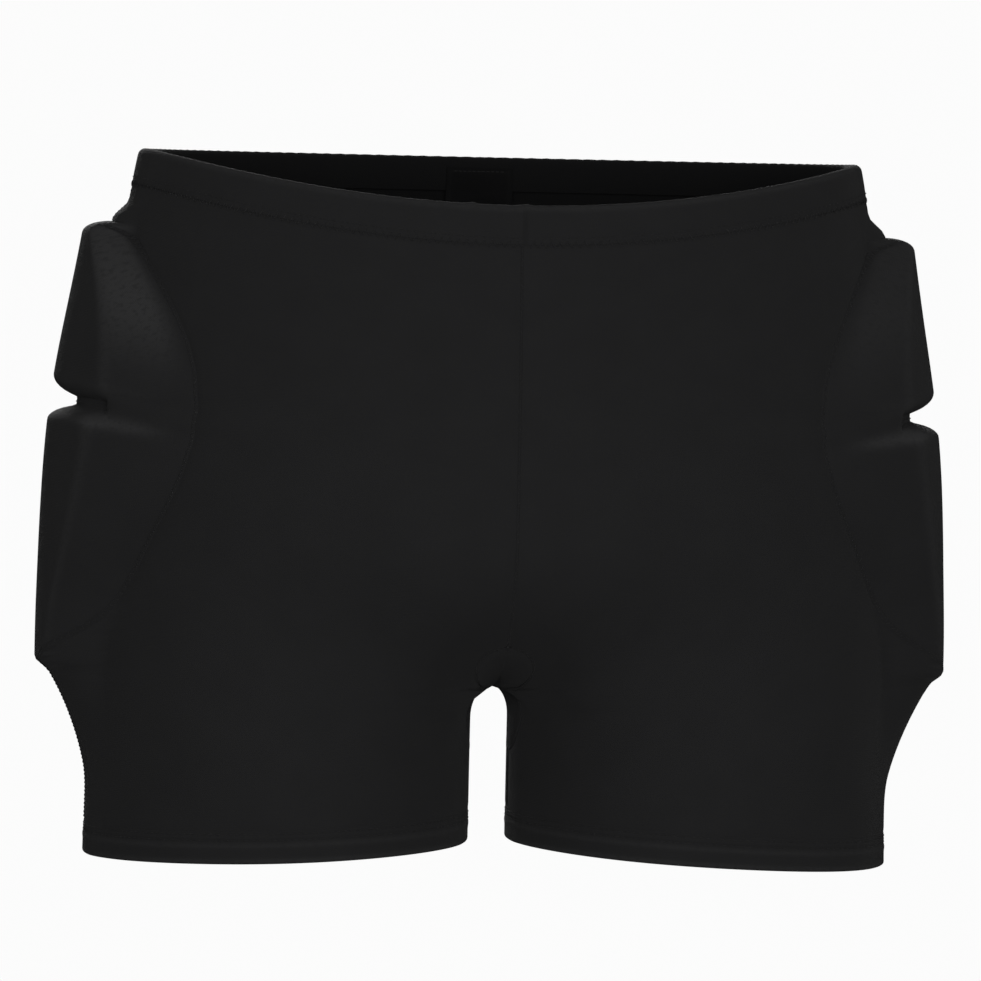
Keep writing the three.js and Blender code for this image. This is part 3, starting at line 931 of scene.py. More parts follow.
@dataclass(frozen=True)
class ShellCloth:
    """Black stretch knit, lighter where its fibres are raised and where highlights are painted, and
    in painted shade on its inner faces.
    """

    colour: Colour = (0.0108, 0.0108, 0.0112)
    light: Colour = (0.0165, 0.0165, 0.0170)
    # Lighter colour of raised fibres, also used for painted highlights.
    napped_and_highlight: Colour = (0.0330, 0.0330, 0.0336)
    # Painted shade for the inner faces, where the inside of the shorts lies in shadow.
    inner_shade: Colour = (0.0042, 0.0042, 0.0044)
    wale: float = 0.95
    course: float = 0.7
    chevron: float = 0.55
    depth: float = 0.16

    def material(self) -> bpy.types.Material:
        """Finish of the outer cloth.

        Returns:
            The finished material.
        """
        graph = Graph("shell_cloth")
        vector, along, up = graph.cloth()
        column = graph.math("PINGPONG", graph.scaled(along, 2 / self.wale), 1.0)
        row = graph.scaled(up, 1 / self.course, graph.scaled(column, self.chevron))
        loop = graph.math("SINE", graph.scaled(row, 2 * math.pi))
        rib = graph.math("SINE", graph.scaled(column, math.pi))
        knit = graph.scaled(loop, 0.25, graph.scaled(rib, 0.5, 0.25))
        fuzz = graph.noise(vector, 2.6, 4)
        cloud = graph.noise(vector, 0.045, 4)
        fleck = graph.noise(vector, 0.42, 6)
        tone = graph.scaled(knit, 0.35, graph.scaled(cloud, 0.55))
        tone = graph.scaled(fuzz, 0.3, graph.math("SUBTRACT", tone, 0.1))
        base = graph.blend(tone, self.colour, self.light)
        # Marks above 0 lighten the cloth: raised fibres and painted highlights, broken into flecks.
        patchy = graph.remap(fleck, 0.34, 0.52, 0.55, 1.0)
        nap_and_highlight_share = graph.scaled(graph.nap_and_painted_light(), patchy)
        face = graph.blend(graph.math("MAXIMUM", nap_and_highlight_share, 0.0), base, self.napped_and_highlight)
        # Faces marked below 0 get the darker painted shade, standing for the shadow inside the
        # shorts.
        inner_shade_share = graph.math("MAXIMUM", graph.scaled(graph.nap_and_painted_light(), -1.0), 0.0)
        shaded_inside = graph.blend(knit, self.inner_shade, [1.4 * part for part in self.inner_shade])
        colour = graph.blend(inner_shade_share, face, shaded_inside)
        rough = graph.scaled(fuzz, 0.12, 0.82)
        graph.set(base_color=colour, roughness=rough, specular_ior_level=0.12)
        graph.set(sheen_weight=0.03, sheen_roughness=0.5)
        relief = graph.scaled(fuzz, 0.8, knit)
        tuft = graph.scaled(graph.math("MAXIMUM", graph.nap_and_painted_light(), 0.0), fleck)
        relief = graph.scaled(tuft, 0.6, relief)
        graph.bump(relief, self.depth)
        return graph.material


@dataclass(frozen=True)
class LiningMesh:
    """Black knitted mesh with small round holes."""

    cloth: Colour = (0.0125, 0.0125, 0.013)
    hole: Colour = (0.0035, 0.0035, 0.0037)
    holes_per_mm: float = 0.62
    depth: float = 0.35

    def material(self) -> bpy.types.Material:
        """Finish of the linings.

        Returns:
            The finished material.
        """
        graph = Graph("lining_mesh")
        vector, along, _ = graph.cloth()
        edge = graph.cells(vector, self.holes_per_mm, "DISTANCE_TO_EDGE")
        net = graph.remap(edge, 0.08, 0.24, 1.0, 0.0)
        fibre = graph.noise(vector, 2.2, 3)
        cloud = graph.noise(vector, 0.05, 3)
        share = graph.scaled(net, graph.scaled(cloud, 0.5, 0.6))
        rib = graph.stripes(along, 0.6)
        graph.set(base_color=graph.blend(share, self.hole, self.cloth), roughness=0.9)
        graph.set(specular_ior_level=0.15, sheen_weight=0.03, sheen_roughness=0.5)
        relief = graph.scaled(rib, 0.12, graph.scaled(fibre, 0.2, net))
        graph.bump(relief, self.depth)
        return graph.material


@dataclass(frozen=True)
class PadFoam:
    """Dark grey closed-cell foam."""

    colour: Colour = (0.030, 0.030, 0.032)
    pore: Colour = (0.014, 0.014, 0.015)
    pores_per_mm: float = 0.9
    depth: float = 0.3

    def material(self) -> bpy.types.Material:
        """Finish of the pads.

        Returns:
            The finished material.
        """
        graph = Graph("pad_foam")
        vector, _, _ = graph.cloth()
        cell = graph.cells(vector, self.pores_per_mm, "F1")
        grain = graph.noise(vector, 1.4, 4)
        cloud = graph.noise(vector, 0.06, 3)
        open_pore = graph.remap(cell, 0.12, 0.42, 0.0, 1.0)
        share = graph.scaled(open_pore, graph.scaled(cloud, 0.6, 0.55))
        graph.set(base_color=graph.blend(share, self.pore, self.colour), roughness=0.95)
        graph.set(specular_ior_level=0.2)
        graph.bump(graph.scaled(grain, 0.5, open_pore), self.depth)
        return graph.material


@dataclass(frozen=True)
class SewingThread:
    """Black twisted thread, a little glossier than the cloth."""

    colour: Colour = (0.0052, 0.0052, 0.0054)
    lit: Colour = (0.0125, 0.0125, 0.0130)
    twist: float = 0.6

    def material(self) -> bpy.types.Material:
        """Finish of stitches and flat seams.

        Returns:
            The finished material.
        """
        graph = Graph("sewing_thread")
        vector, along, over = graph.cloth()
        lay = graph.scaled(over, 0.8, along)
        ply = graph.stripes(lay, self.twist)
        hair = graph.noise(vector, 3.0, 3)
        share = graph.scaled(hair, 0.4, graph.scaled(ply, 0.6))
        graph.set(base_color=graph.blend(share, self.colour, self.lit))
        graph.set(roughness=graph.scaled(hair, 0.2, 0.55))
        graph.set(specular_ior_level=0.25, sheen_weight=0.05, sheen_roughness=0.4)
        graph.bump(graph.scaled(hair, 0.2, ply), 0.08)
        return graph.material


@dataclass(frozen=True)
class WovenElastic:
    """Ribbed black elastic tape."""

    colour: Colour = (0.008, 0.008, 0.0085)
    rib_colour: Colour = (0.020, 0.020, 0.021)
    rib: float = 1.4
    pick: float = 0.7

    def material(self) -> bpy.types.Material:
        """Finish of the waist elastic.

        Returns:
            The finished material.
        """
        graph = Graph("woven_elastic")
        vector, along, over = graph.cloth()
        ribs, picks = graph.stripes(over, self.rib), graph.stripes(along, self.pick)
        hair = graph.noise(vector, 2.5, 3)
        weave = graph.scaled(picks, 0.35, graph.scaled(ribs, 0.65))
        share = graph.scaled(hair, 0.25, graph.scaled(weave, 0.75))
        graph.set(base_color=graph.blend(share, self.colour, self.rib_colour), roughness=0.75)
        graph.set(specular_ior_level=0.25)
        graph.bump(weave, 0.3)
        return graph.material


@dataclass(frozen=True)
class LabelSatin:
    """Blank woven satin label with a paler border."""

    colour: Colour = (0.0040, 0.0040, 0.0042)
    border: Colour = (0.0066, 0.0066, 0.0068)
    warp: float = 0.32

    def material(self) -> bpy.types.Material:
        """Finish of the label.

        Returns:
            The finished material.
        """
        graph = Graph("label_satin")
        vector, along, up = graph.cloth()
        warp = graph.stripes(along, self.warp)
        weft = graph.stripes(up, 3 * self.warp)
        hair = graph.noise(vector, 1.5, 3)
        # On the label this mark holds only the woven border.
        edge = graph.scaled(graph.nap_and_painted_light(), graph.scaled(weft, 0.4, 0.6))
        share = graph.scaled(hair, 0.12, graph.scaled(edge, 0.88))
        graph.set(base_color=graph.blend(share, self.colour, self.border))
        graph.set(roughness=graph.scaled(warp, 0.15, 0.6), specular_ior_level=0.08)
        graph.set(anisotropic=0.4)
        graph.bump(graph.scaled(weft, 0.3, warp), 0.05)
        return graph.material


class Finish(Enum):
    """Finishes of the pieces, each listed with a slot name of the record."""

    SHELL = ("shell_fabric", ShellCloth())
    LINING = ("lining_fabric", LiningMesh())
    ELASTIC = ("elastic", WovenElastic())
    FOAM = ("foam", PadFoam())
    THREAD = ("thread", SewingThread())
    LABEL = ("label", LabelSatin())


class Flat(Enum):
    """Width and length that each sheet is cut from, the share that is used, and its hold."""

    FRONT_PANEL = (262, 296, 0.75, Hold.STRETCHED)
    BACK_PANEL = (262, 296, 0.82, Hold.STRETCHED)
    SIDE_COVER = (240, 236, 0.62, Hold.STRETCHED)
    GUSSET_HALF = (46, 140, 0.5, Hold.STRETCHED)
    WAISTBAND = (850, 36, 1.0, Hold.FOLDED)
    WAIST_ELASTIC = (850, 14, 1.0, Hold.STRETCHED)
    CARE_LABEL = (30, 34, 1.0, Hold.HUNG)
    HEM_BAND = (560, 32, 1.0, Hold.FOLDED)
    HIP_LINING = (210, 212, 0.56, Hold.STRETCHED)
    SEAT_LINING_HALF = (165, 178, 0.9, Hold.STRETCHED)


@dataclass
class Workbench:
    """Dresses each piece in its finish, and fastens it to the pelvis or leaves it in place over a
    hip.
    """

    form: ShortsForm
    bend_out: float = 0.545
    bend_down: float = 0.839
    bend_length: float = 88.0
    materials: dict[Finish, bpy.types.Material] = field(default_factory=dict)

    def __post_init__(self) -> None:
        """Make each finish once."""
        for finish in Finish:
            self.materials[finish] = finish.value[1].material()

    def fasten(self, piece: Piece, finish: Finish, side: Side | None, *nodes: str) -> Piece:
        """Dress a piece, and fasten it to the pelvis or leave it in place if it crosses a hip.

        Args:
            piece: The piece, in place.
            finish: What it is made of.
            side: The hip that it crosses, or None if it stays with the pelvis.
            nodes: The frame's nodes that it stands for.

        Returns:
            The same piece.
        """
        piece.data.materials.clear()
        piece.data.materials.append(self.materials[finish])
        if side is None:
            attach(piece, PELVIS)
        else:
            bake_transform(piece)
        if nodes:
            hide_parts(*nodes)
        place = "on the pelvis" if side is None else f"over the {side.word} hip"
        log.info("%s: %s, %d faces", piece.name, place, len(piece.data.polygons))
        return piece

    def cloth(
        self, piece: Piece, finish: Finish, side: Side | None, cut: Flat, rests_on: str, *nodes: str
    ) -> None:
        """Args:
            piece: The sheet, in place.
            finish: What it is made of.
            side: The hip that it crosses, or None if it stays with the pelvis.
            cut: The flat size that it was cut to. Not used.
            rests_on: The piece that it rests on. Not used.
            nodes: The frame's nodes that it stands for.
        """
        self.fasten(piece, finish, side, *nodes)


@dataclass(frozen=True)
class Stitcher:
    """Makes rows of single stitches, each a short rounded stretch of thread, in millimetres."""

    length: float = 2.3
    pitch: float = 3.1
    radius: float = 0.2
    sides: int = 5
    stations: tuple[float, ...] = (0.08, 0.35, 0.65, 0.92)
    girths: tuple[float, ...] = (0.6, 1.0, 1.0, 0.6)

    def run(self, line: Array, outward: Array, pitch: float, reach: float,
            shift: float = 0.0, other: Array | None = None) -> Run:
        """Starts and ends of stitches along a line, or of a zigzag from it to another line.

        Args:
            line: Points of the line where the stitches start.
            outward: The same points, a little further out.
            pitch: Distance from one stitch to the next.
            reach: How far along the line a stitch travels.
            shift: Where the first stitch starts.
            other: Points of the line where a zigzag's stitches end, and every other one starts.

        Returns:
            Start, end and outward direction of each stitch.
        """
        length = np.concatenate([[0], np.cumsum(np.linalg.norm(np.diff(line, axis=0), axis=1))])
        start = np.arange(shift, length[-1] - reach, pitch)

        def at(points: Array, places: Array) -> Array:
            """Points of a line at some lengths along it."""
            return np.stack([np.interp(places, length, points[:, i]) for i in range(3)], axis=1)

        begin, end = at(line, start), at(line, start + reach)
        if other is not None:
            back = (np.arange(len(start)) % 2 == 1)[:, None]
            begin = np.where(back, at(other, start), begin)
            end = np.where(back, end, at(other, start + reach))
        normal = at(outward, start + reach / 2) - at(line, start + reach / 2)
        return begin, end, normal / np.linalg.norm(normal, axis=1, keepdims=True)

    def sew(self, name: str, runs: list[Run], arch: float = 0.15) -> Cut:
        """One cut that holds every stitch of some runs.

        Args:
            name: Name of the piece.
            runs: Starts, ends and outward directions, for each run of stitches.
            arch: How high the middle of a stitch stands above its ends.

        Returns:
            The cut, ready to be made.
        """
        begin, end, normal = (np.concatenate(part) for part in zip(*runs))
        way = end - begin
        reach = np.linalg.norm(way, axis=1, keepdims=True)
        across = np.cross(way / reach, normal)
        across /= np.linalg.norm(across, axis=1, keepdims=True)
        up = np.cross(across, way / reach)
        rings = []
        for place, girth in zip(self.stations, self.girths):
            middle = begin + way * place + up * arch * math.sin(math.pi * place)
            for side in range(self.sides):
                angle = 2 * math.pi * side / self.sides
                spoke = across * math.cos(angle) + up * math.sin(angle)
                rings.append(middle + spoke * self.radius * girth)
        points = np.stack([begin, *rings, end], axis=1)
        size, sides = points.shape[1], self.sides
        pattern = [[0, 1 + (i + 1) % sides, 1 + i] for i in range(sides)]
        for ring in range(len(self.stations) - 1):
            base = 1 + ring * sides
            for i in range(sides):
                j = (i + 1) % sides
                pattern.append([base + i, base + j, base + sides + j, base + sides + i])
        base = size - 1 - sides
        pattern += [[size - 1, base + i, base + (i + 1) % sides] for i in range(sides)]
        starts = range(0, len(points) * size, size)
        faces = [[start + corner for corner in face] for start in starts for face in pattern]
        along = np.concatenate([[0], np.repeat(self.stations, sides), [1]])[None, :] * reach
        return Cut(name, points, faces, laid(along, 0.0), sharp_angle=80)


@dataclass(frozen=True)
class FlatSeam:
    """Flat raised seam that lies in a channel between two panels, with stitches over it."""

    skin: Skin
    stitcher: Stitcher
    half_width: float = 1.2
    thickness: float = 0.55
    bed: float = -0.6
    stitch_reach: float = 0.85
    stitch_pitch: float = 1.9
    stitch_share: float = 0.8
    stitch_arch: float = 0.22
    first_stitch: float = 2.0
    crown_points: int = 7
    taper: float = 3.0

    def fine(self) -> "FlatSeam":
        """The narrower seam of the centre, the inseams and the gusset."""
        return replace(self, half_width=0.7, thickness=0.4, stitch_reach=0.45, stitch_pitch=1.5)

    def line(self, spot: Spot, offset: float, depth: float) -> Array:
        """Points beside the middle of the seam, at an offset across it and a depth."""
        return self.skin.points(*spot(offset), depth)

    def build(
        self, bench: Workbench, name: str, spot: Spot, side: Side | None, *nodes: str
    ) -> None:
        """Make the seam and its stitches.

        Args:
            bench: Where pieces are dressed.
            name: Name of the seam.
            spot: Gives flips, turns and heights along the seam for an offset across it.
            side: The hip that it crosses, or None on the centre line.
            nodes: The frame's nodes that the seam stands for.
        """
        offsets = np.linspace(-1, 1, self.crown_points)
        crown = [(o * self.half_width, self.bed + self.thickness * math.sqrt(max(0, 1 - o * o)))
                 for o in offsets]
        base = [(o * self.half_width, self.bed - 0.05) for o in (0.6, -0.6)]
        sections = np.stack([self.line(spot, o, d) for o, d in crown + base], axis=1)
        middle = sections.mean(axis=1, keepdims=True)
        length = arc(middle.transpose(1, 0, 2))[0]
        near = np.minimum(length, length[-1] - length)
        width = 0.3 + 0.7 * round_end(near, self.taper)
        sections = middle + (sections - middle) * width[:, None, None]
        strip = Cut.tube(name, sections, False).finish()
        reach = self.stitch_reach
        lift = self.bed + self.thickness * math.sqrt(1 - (reach / self.half_width) ** 2)
        run = self.stitcher.run(
            self.line(spot, -reach, lift), self.line(spot, -reach, lift + 1), self.stitch_pitch,
            self.stitch_pitch * self.stitch_share, self.first_stitch, self.line(spot, reach, lift),
        )
        sewn = self.stitcher.sew(f"{name}_stitches", [run], self.stitch_arch).finish()
        bench.fasten(strip, Finish.SHELL, side, *nodes)
        bench.fasten(sewn, Finish.THREAD, side)


@dataclass
class Shell:
    """Four panels and two hip covers of outer cloth, with the seams between them."""

    skin: Skin
    bench: Workbench
    seam: FlatSeam
    columns: int = 56
    cover_columns: int = 84
    thickness: float = 1.6
    gap: float = 0.15
    centre_gap: float = 0.1
    channel_depth: float = 0.65
    channel_floor: float = 1.3
    channel_edge: float = 2.1
    narrow_share: float = 0.6
    band_dip: float = 0.2
    band_tuck: float = 1.25
    gusset_front: float = 22.0
    gusset_leg: float = 30.0
    gusset_turn: float = 0.045
    least_step: float = 0.12
    fold_reach: float = 0.62

    def build(self) -> None:
        """Make every panel, cover and seam."""
        for side in Side:
            self.panels(side)
            self.cover(side)
            self.side_seams(side)
        self.centre_seams()

    def rows(self) -> Array:
        """Heights of the rows of a panel, closer where the cover's edge or the folds need it.

        Returns:
            Heights, from the waistband down.
        """
        hip, form = self.skin.hip, self.skin.form
        round_it = np.sin(np.linspace(0, math.pi / 2, 38))
        heights = np.concatenate([
            form.band_foot + np.array([0.7, -0.1]),
            np.linspace(form.band_foot - 0.5, hip.top + 0.3, 7),
            hip.widest + (hip.top - hip.widest) * round_it,
            hip.widest - (hip.widest - hip.foot) * round_it,
            np.arange(hip.groove - 17, hip.groove + 13, 1.2),
            self.gusset_front * np.cos(np.linspace(0, math.pi / 2, 9)),
            -self.gusset_leg * np.cos(np.linspace(0, math.pi / 2, 10)),
            np.linspace(-self.gusset_leg - 0.4, form.hem_top + 0.05, 13),
        ])
        heights = np.sort(heights)[::-1]
        kept = [heights[0]]
        for height in heights[1:-1]:
            if kept[-1] - height > self.least_step:
                kept.append(height)
        return np.array([*kept, heights[-1]])

    def start(self, height: Array) -> Array:
        """Turn where a panel starts, beside the centre seam, the gusset or the inseam.

        Args:
            height: Height above the crotch.

        Returns:
            The turn, on the front half.
        """
        reach = np.where(height > 0, self.gusset_front, self.gusset_leg)
        swell = np.sqrt(np.maximum(0, 1 - (height / reach) ** 2))
        beside = np.maximum(self.gusset_turn * swell, self.gap / self.skin.form.leg_girth)
        return np.where(height >= self.gusset_front, 0, beside)

    def channel(self, distance: Array, share: float = 1.0) -> Array:
        """Depth of the cloth beside a seam, which draws it down. A share below 1 is a fine seam."""
        edge = smooth(self.channel_floor * share, self.channel_edge * share, distance)
        return -self.channel_depth * (1 - edge)

    def panels(self, side: Side) -> None:
        """Front and back panel of one side.

        Args:
            side: Which half of the shorts.
        """
        form, hip = self.skin.form, self.skin.hip
        rows = self.rows()[:, None]
        share = np.linspace(0, 1, self.columns + 1)[None, :]
        edge_turn, edge_height = hip.edge(rows, self.gap)
        beside_cover = (rows < hip.top) & (rows > hip.foot)
        edge_turn = np.where(beside_cover, edge_turn, SIDE_TURN - self.gap / form.half_girth)
        edge_height = np.where(beside_cover, edge_height, rows)
        height = mix(rows, edge_height, share)
        near_front = mix(self.start(rows), edge_turn, share)
        for part, turn, cut in (
            ("front", near_front, Flat.FRONT_PANEL),
            ("back", 1 - near_front, Flat.BACK_PANEL),
        ):
            length = arc(form.layer(1, turn, height, 0))
            distance = np.minimum(length, length[:, -1:] - length)
            edges = np.minimum(form.band_foot - 0.05 - height, height - rows[-1, 0])
            depth = np.minimum(
                self.channel(length, self.narrow_share), self.channel(length[:, -1:] - length)
            ) - self.band_dip * (1 - smooth(0.2, 1.6, edges))
            depth = np.where(height > form.band_foot - 0.3, -self.band_tuck, depth)
            # Lighter marks for raised fibres and painted highlights, faded out at the panel's
            # seams.
            nap_and_painted_light = hip.nap_and_painted_light(side, turn, height) * smooth(0.0, 0.5, distance)
            faces = []
            for inset in (0, self.thickness):
                points = self.skin.points(side.value, turn, height, depth - inset)
                x = np.minimum(points[..., 0] * side.value, -self.centre_gap)
                points[..., 0] = x * side.value
                faces.append(points)
            name = f"{part}_panel_{side.word}"
            panel = Cut.sheet(name, *faces, nap_and_painted_light=nap_and_painted_light, lay=form.lay(turn, height)).finish()
            self.bench.cloth(panel, Finish.SHELL, side, cut, "waistband", name)

    def cover(self, side: Side) -> None:
        """Hip cover of one side, with the seams round it and along its fold.

        Args:
            side: Which half of the shorts.
        """
        hip = self.skin.hip
        rows = self.rows()
        rows = rows[(rows < hip.top - 0.02) & (rows > hip.foot + 0.4)][:, None]
        across = np.linspace(-1, 1, self.cover_columns + 1)[None, :]
        edge_turn, height = hip.edge(rows, -self.gap)
        turn = SIDE_TURN + (SIDE_TURN - edge_turn) * across
        height = np.broadcast_to(height, turn.shape)
        length = arc(self.skin.form.layer(1, turn, height, 0))
        distance = np.minimum(length, length[:, -1:] - length)
        depth = self.channel(distance)
        # Lighter marks for raised fibres and painted highlights over the hip pads, faded out at the
        # edges.
        nap_and_painted_light = hip.nap_and_painted_light(side, turn, height) * smooth(0.5, 3.0, distance)
        faces = [self.skin.points(side.value, turn, height, depth - inset)
                 for inset in (0, self.thickness)]
        name = f"side_cover_{side.word}"
        cover = Cut.sheet(name, *faces, nap_and_painted_light=nap_and_painted_light, lay=self.skin.form.lay(turn, height)).finish()
        pad = f"hip_pad_lower_{side.word}"
        self.bench.cloth(cover, Finish.SHELL, side, Flat.SIDE_COVER, pad, name)
        self.cover_seams(side, rows[3:-2, 0])

    def cover_seams(self, side: Side, rows: Array) -> None:
        """Seams along the cover's two edges, and the stitched fold between the pads.

        Args:
            side: Which half of the shorts.
            rows: Heights along the seams.
        """
        hip = self.skin.hip
        for part, back in (("front", False), ("back", True)):

            def spot(offset: float) -> tuple[int, Array, Array]:
                """Spots along one edge of the cover."""
                turn, height = hip.edge(rows, offset)
                return side.value, 1 - turn if back else turn, height

            name = f"cover_seam_{part}_{side.word}"
            self.seam.build(self.bench, name, spot, side, name)

        share = np.linspace(-self.fold_reach, self.fold_reach, 60)

        def fold(offset: float) -> tuple[int, Array, Array]:
            """Spots along the fold.

            Args:
                offset: Distance across the seam.

            Returns:
                Flip, turns and heights.
            """
            level = hip.groove - hip.dip(np.abs(share))
            turn = SIDE_TURN + share * hip.half(level) / self.skin.form.half_girth
            return side.value, turn, level + offset

        lines = [self.skin.points(*fold(0), depth) for depth in (0.1, 1.1)]
        stitcher = self.seam.stitcher
        name = f"pad_divider_seam_{side.word}"
        sewn = stitcher.sew(name, [stitcher.run(*lines, stitcher.pitch, stitcher.length)])
        self.bench.fasten(sewn.finish(), Finish.THREAD, side, name)

    def side_seams(self, side: Side) -> None:
        """Short seams at the wearer's side, above and below the cover.

        Args:
            side: Which half of the shorts.
        """
        form, hip = self.skin.form, self.skin.hip
        spans = {
            "upper": np.linspace(form.band_foot - 0.6, hip.top + 0.6, 12),
            "lower": np.linspace(hip.foot + 3, form.hem_top + 0.6, 36),
        }
        for part, rows in spans.items():

            def spot(offset: float) -> tuple[int, Array, Array]:
                """Spots down the wearer's side."""
                return side.value, SIDE_TURN + offset / form.half_girth, rows

            self.seam.build(self.bench, f"side_seam_{part}_{side.word}", spot, side)

    def centre_seams(self) -> None:
        """Front and back centre seams, and the two inseams."""
        form = self.skin.form
        rows = np.linspace(form.band_foot - 0.6, self.gusset_front - 1.5, 110)
        fine = self.seam.fine()
        for part, back in (("front", False), ("back", True)):

            def spot(offset: float) -> tuple[int, Array, Array]:
                """Spots down the front or back centre.

                Args:
                    offset: Distance across the seam.

                Returns:
                    Flip, turns and heights.
                """
                turn = abs(offset) / form.half_girth
                flip = Side.RIGHT.value if offset <= 0 else Side.LEFT.value
                return flip, np.full_like(rows, 1 - turn if back else turn), rows

            fine.build(self.bench, f"{part}_centre_seam", spot, None, f"{part}_centre_seam")
        leg_rows = np.linspace(-self.gusset_leg - 0.5, form.hem_top + 0.6, 24)
        for side in Side:

            def inner(offset: float) -> tuple[int, Array, Array]:
                """Spots down the inside of one leg.

                Args:
                    offset: Distance across the seam.

                Returns:
                    Flip, turns and heights.
                """
                turn = abs(offset) / form.leg_girth
                turns = np.full_like(leg_rows, turn if offset <= 0 else 1 - turn)
                return side.value, turns, leg_rows

            fine.build(self.bench, f"inseam_{side.word}", inner, side, f"inseam_{side.word}")


@dataclass
class Gusset:
    """Crotch gusset, cut in two halves that meet on the centre line, with its seams."""

    skin: Skin
    bench: Workbench
    shell: Shell
    rings: int = 18
    steps: int = 26
    inset: float = 0.99
    thickness: float = 1.5
    ring_width: float = 28.0
    seam_steps: int = 30

    def spot(self, ring: Array, step: Array) -> tuple[Array, Array]:
        """Turn and height at a ring (0 in the middle, 1 at the seam) and a step round it.

        Args:
            ring: Share of the way from the middle of the gusset to its seam.
            step: 0 at the front tip, 1 at the tip down the leg and 2 at the back tip.

        Returns:
            Turn and height on the form.
        """
        back = step > 1
        along = math.pi * np.where(back, 2 - step, step)
        reach = np.where(np.cos(along) > 0, self.shell.gusset_front, self.shell.gusset_leg)
        turn = ring * self.shell.gusset_turn * np.sin(along)
        return np.where(back, 1 - turn, turn), ring * ring * reach * np.cos(along)

    def build(self) -> None:
        """Make both halves and the seams round them."""
        ring = np.linspace(0, self.inset, self.rings + 1)[:, None]
        step = np.linspace(0, 2, 2 * self.steps + 1)[None, :]
        turn, height = self.spot(ring, step)
        face = self.skin.form.surface(turn, height)
        face[..., 2] -= self.skin.form.waist_rise
        normal = np.cross(np.gradient(face, axis=1), np.gradient(face, axis=0))
        normal[0] = (0, 0, -1)
        normal /= np.maximum(np.linalg.norm(normal, axis=-1, keepdims=True), 1e-9)
        normal *= 1 if normal[self.rings // 2, 1, 1] < 0 else -1
        normal[0] = (0, 0, -1)
        centre = (np.abs(face[..., 0]) < 1e-6) & (step % 2 == 0)
        normal[..., 0] = np.where(centre, 0, normal[..., 0])
        drawn = self.shell.channel((self.inset - ring) * self.ring_width, self.shell.narrow_share)
        for side in Side:
            turned = np.array([side.value, 1, 1])
            outer = (face + normal * drawn[..., None]) * turned
            inner = outer - normal * turned * self.thickness
            half = Cut.sheet(f"crotch_gusset_{side.word}", outer, inner).finish()
            weld(half)
            nodes = ["crotch_gusset"] if side is Side.RIGHT else []
            panel = f"front_panel_{side.word}"
            self.bench.cloth(half, Finish.SHELL, side, Flat.GUSSET_HALF, panel, *nodes)
            self.seams(side)

    def seams(self, side: Side) -> None:
        """Fine seams from the leg to the front and back tips of one half."""
        fine = self.shell.seam.fine()
        for part, start, stop in (("front", 0.04, 0.97), ("back", 1.96, 1.03)):
            steps = np.linspace(start, stop, self.seam_steps)

            def spot(offset: float) -> tuple[int, Array, Array]:
                """Spots beside the gusset's edge."""
                return side.value, *self.spot(1 - offset / self.ring_width, steps)

            fine.build(self.bench, f"gusset_seam_{part}_{side.word}", spot, side)


def weld(piece: Piece) -> None:
    """Join points of a piece that lie on each other, and drop the faces that this closes up.

    Args:
        piece: The piece, which is changed in place.
    """
    mesh = bmesh.new()
    mesh.from_mesh(piece.data)
    bmesh.ops.remove_doubles(mesh, verts=mesh.verts, dist=1e-6)
    mesh.to_mesh(piece.data)
    mesh.free()


def apply_modifiers(piece: Piece) -> None:
    """Replace a piece's mesh with what its modifiers make of it.

    Args:
        piece: The piece, which is changed in place.
    """
    graph = bpy.context.evaluated_depsgraph_get()
    graph.update()
    mesh = bpy.data.meshes.new_from_object(piece.evaluated_get(graph))
    piece.modifiers.clear()
    old, piece.data = piece.data, mesh
    bpy.data.meshes.remove(old)
    mesh.name = piece.name


def folded(
    face: Array, line: Array, thickness: float, wall: float, turns: int
) -> tuple[Array, Array]:
    """Section of cloth that is folded back on itself, open at its first point.

    Args:
        face: Depths of the outer face, from the open edge to the fold.
        line: Heights of the same points.
        thickness: Thickness of the fold, over both of its walls.
        wall: Thickness of the cloth.
        turns: Number of points round the fold.

    Returns:
        Depths and heights of the whole section.
    """
    half_turn = np.linspace(0, math.pi, turns + 2)[1:-1]
    outer, inner, edge, fold = thickness / 2, thickness / 2 - wall, line[0], line[-1]
    back, over = np.linspace(fold, edge, 8), np.sign(fold - edge) * np.sin(half_turn)
    straight = np.ones_like(back)
    depth = [face, outer * np.cos(half_turn) - outer, -thickness * straight,
             (wall - thickness) * straight, -outer - inner * np.cos(half_turn), -wall * straight]
    height = [line, fold + outer * over, back, back[::-1], fold + inner * over, back]
    return np.concatenate(depth), np.concatenate(height)


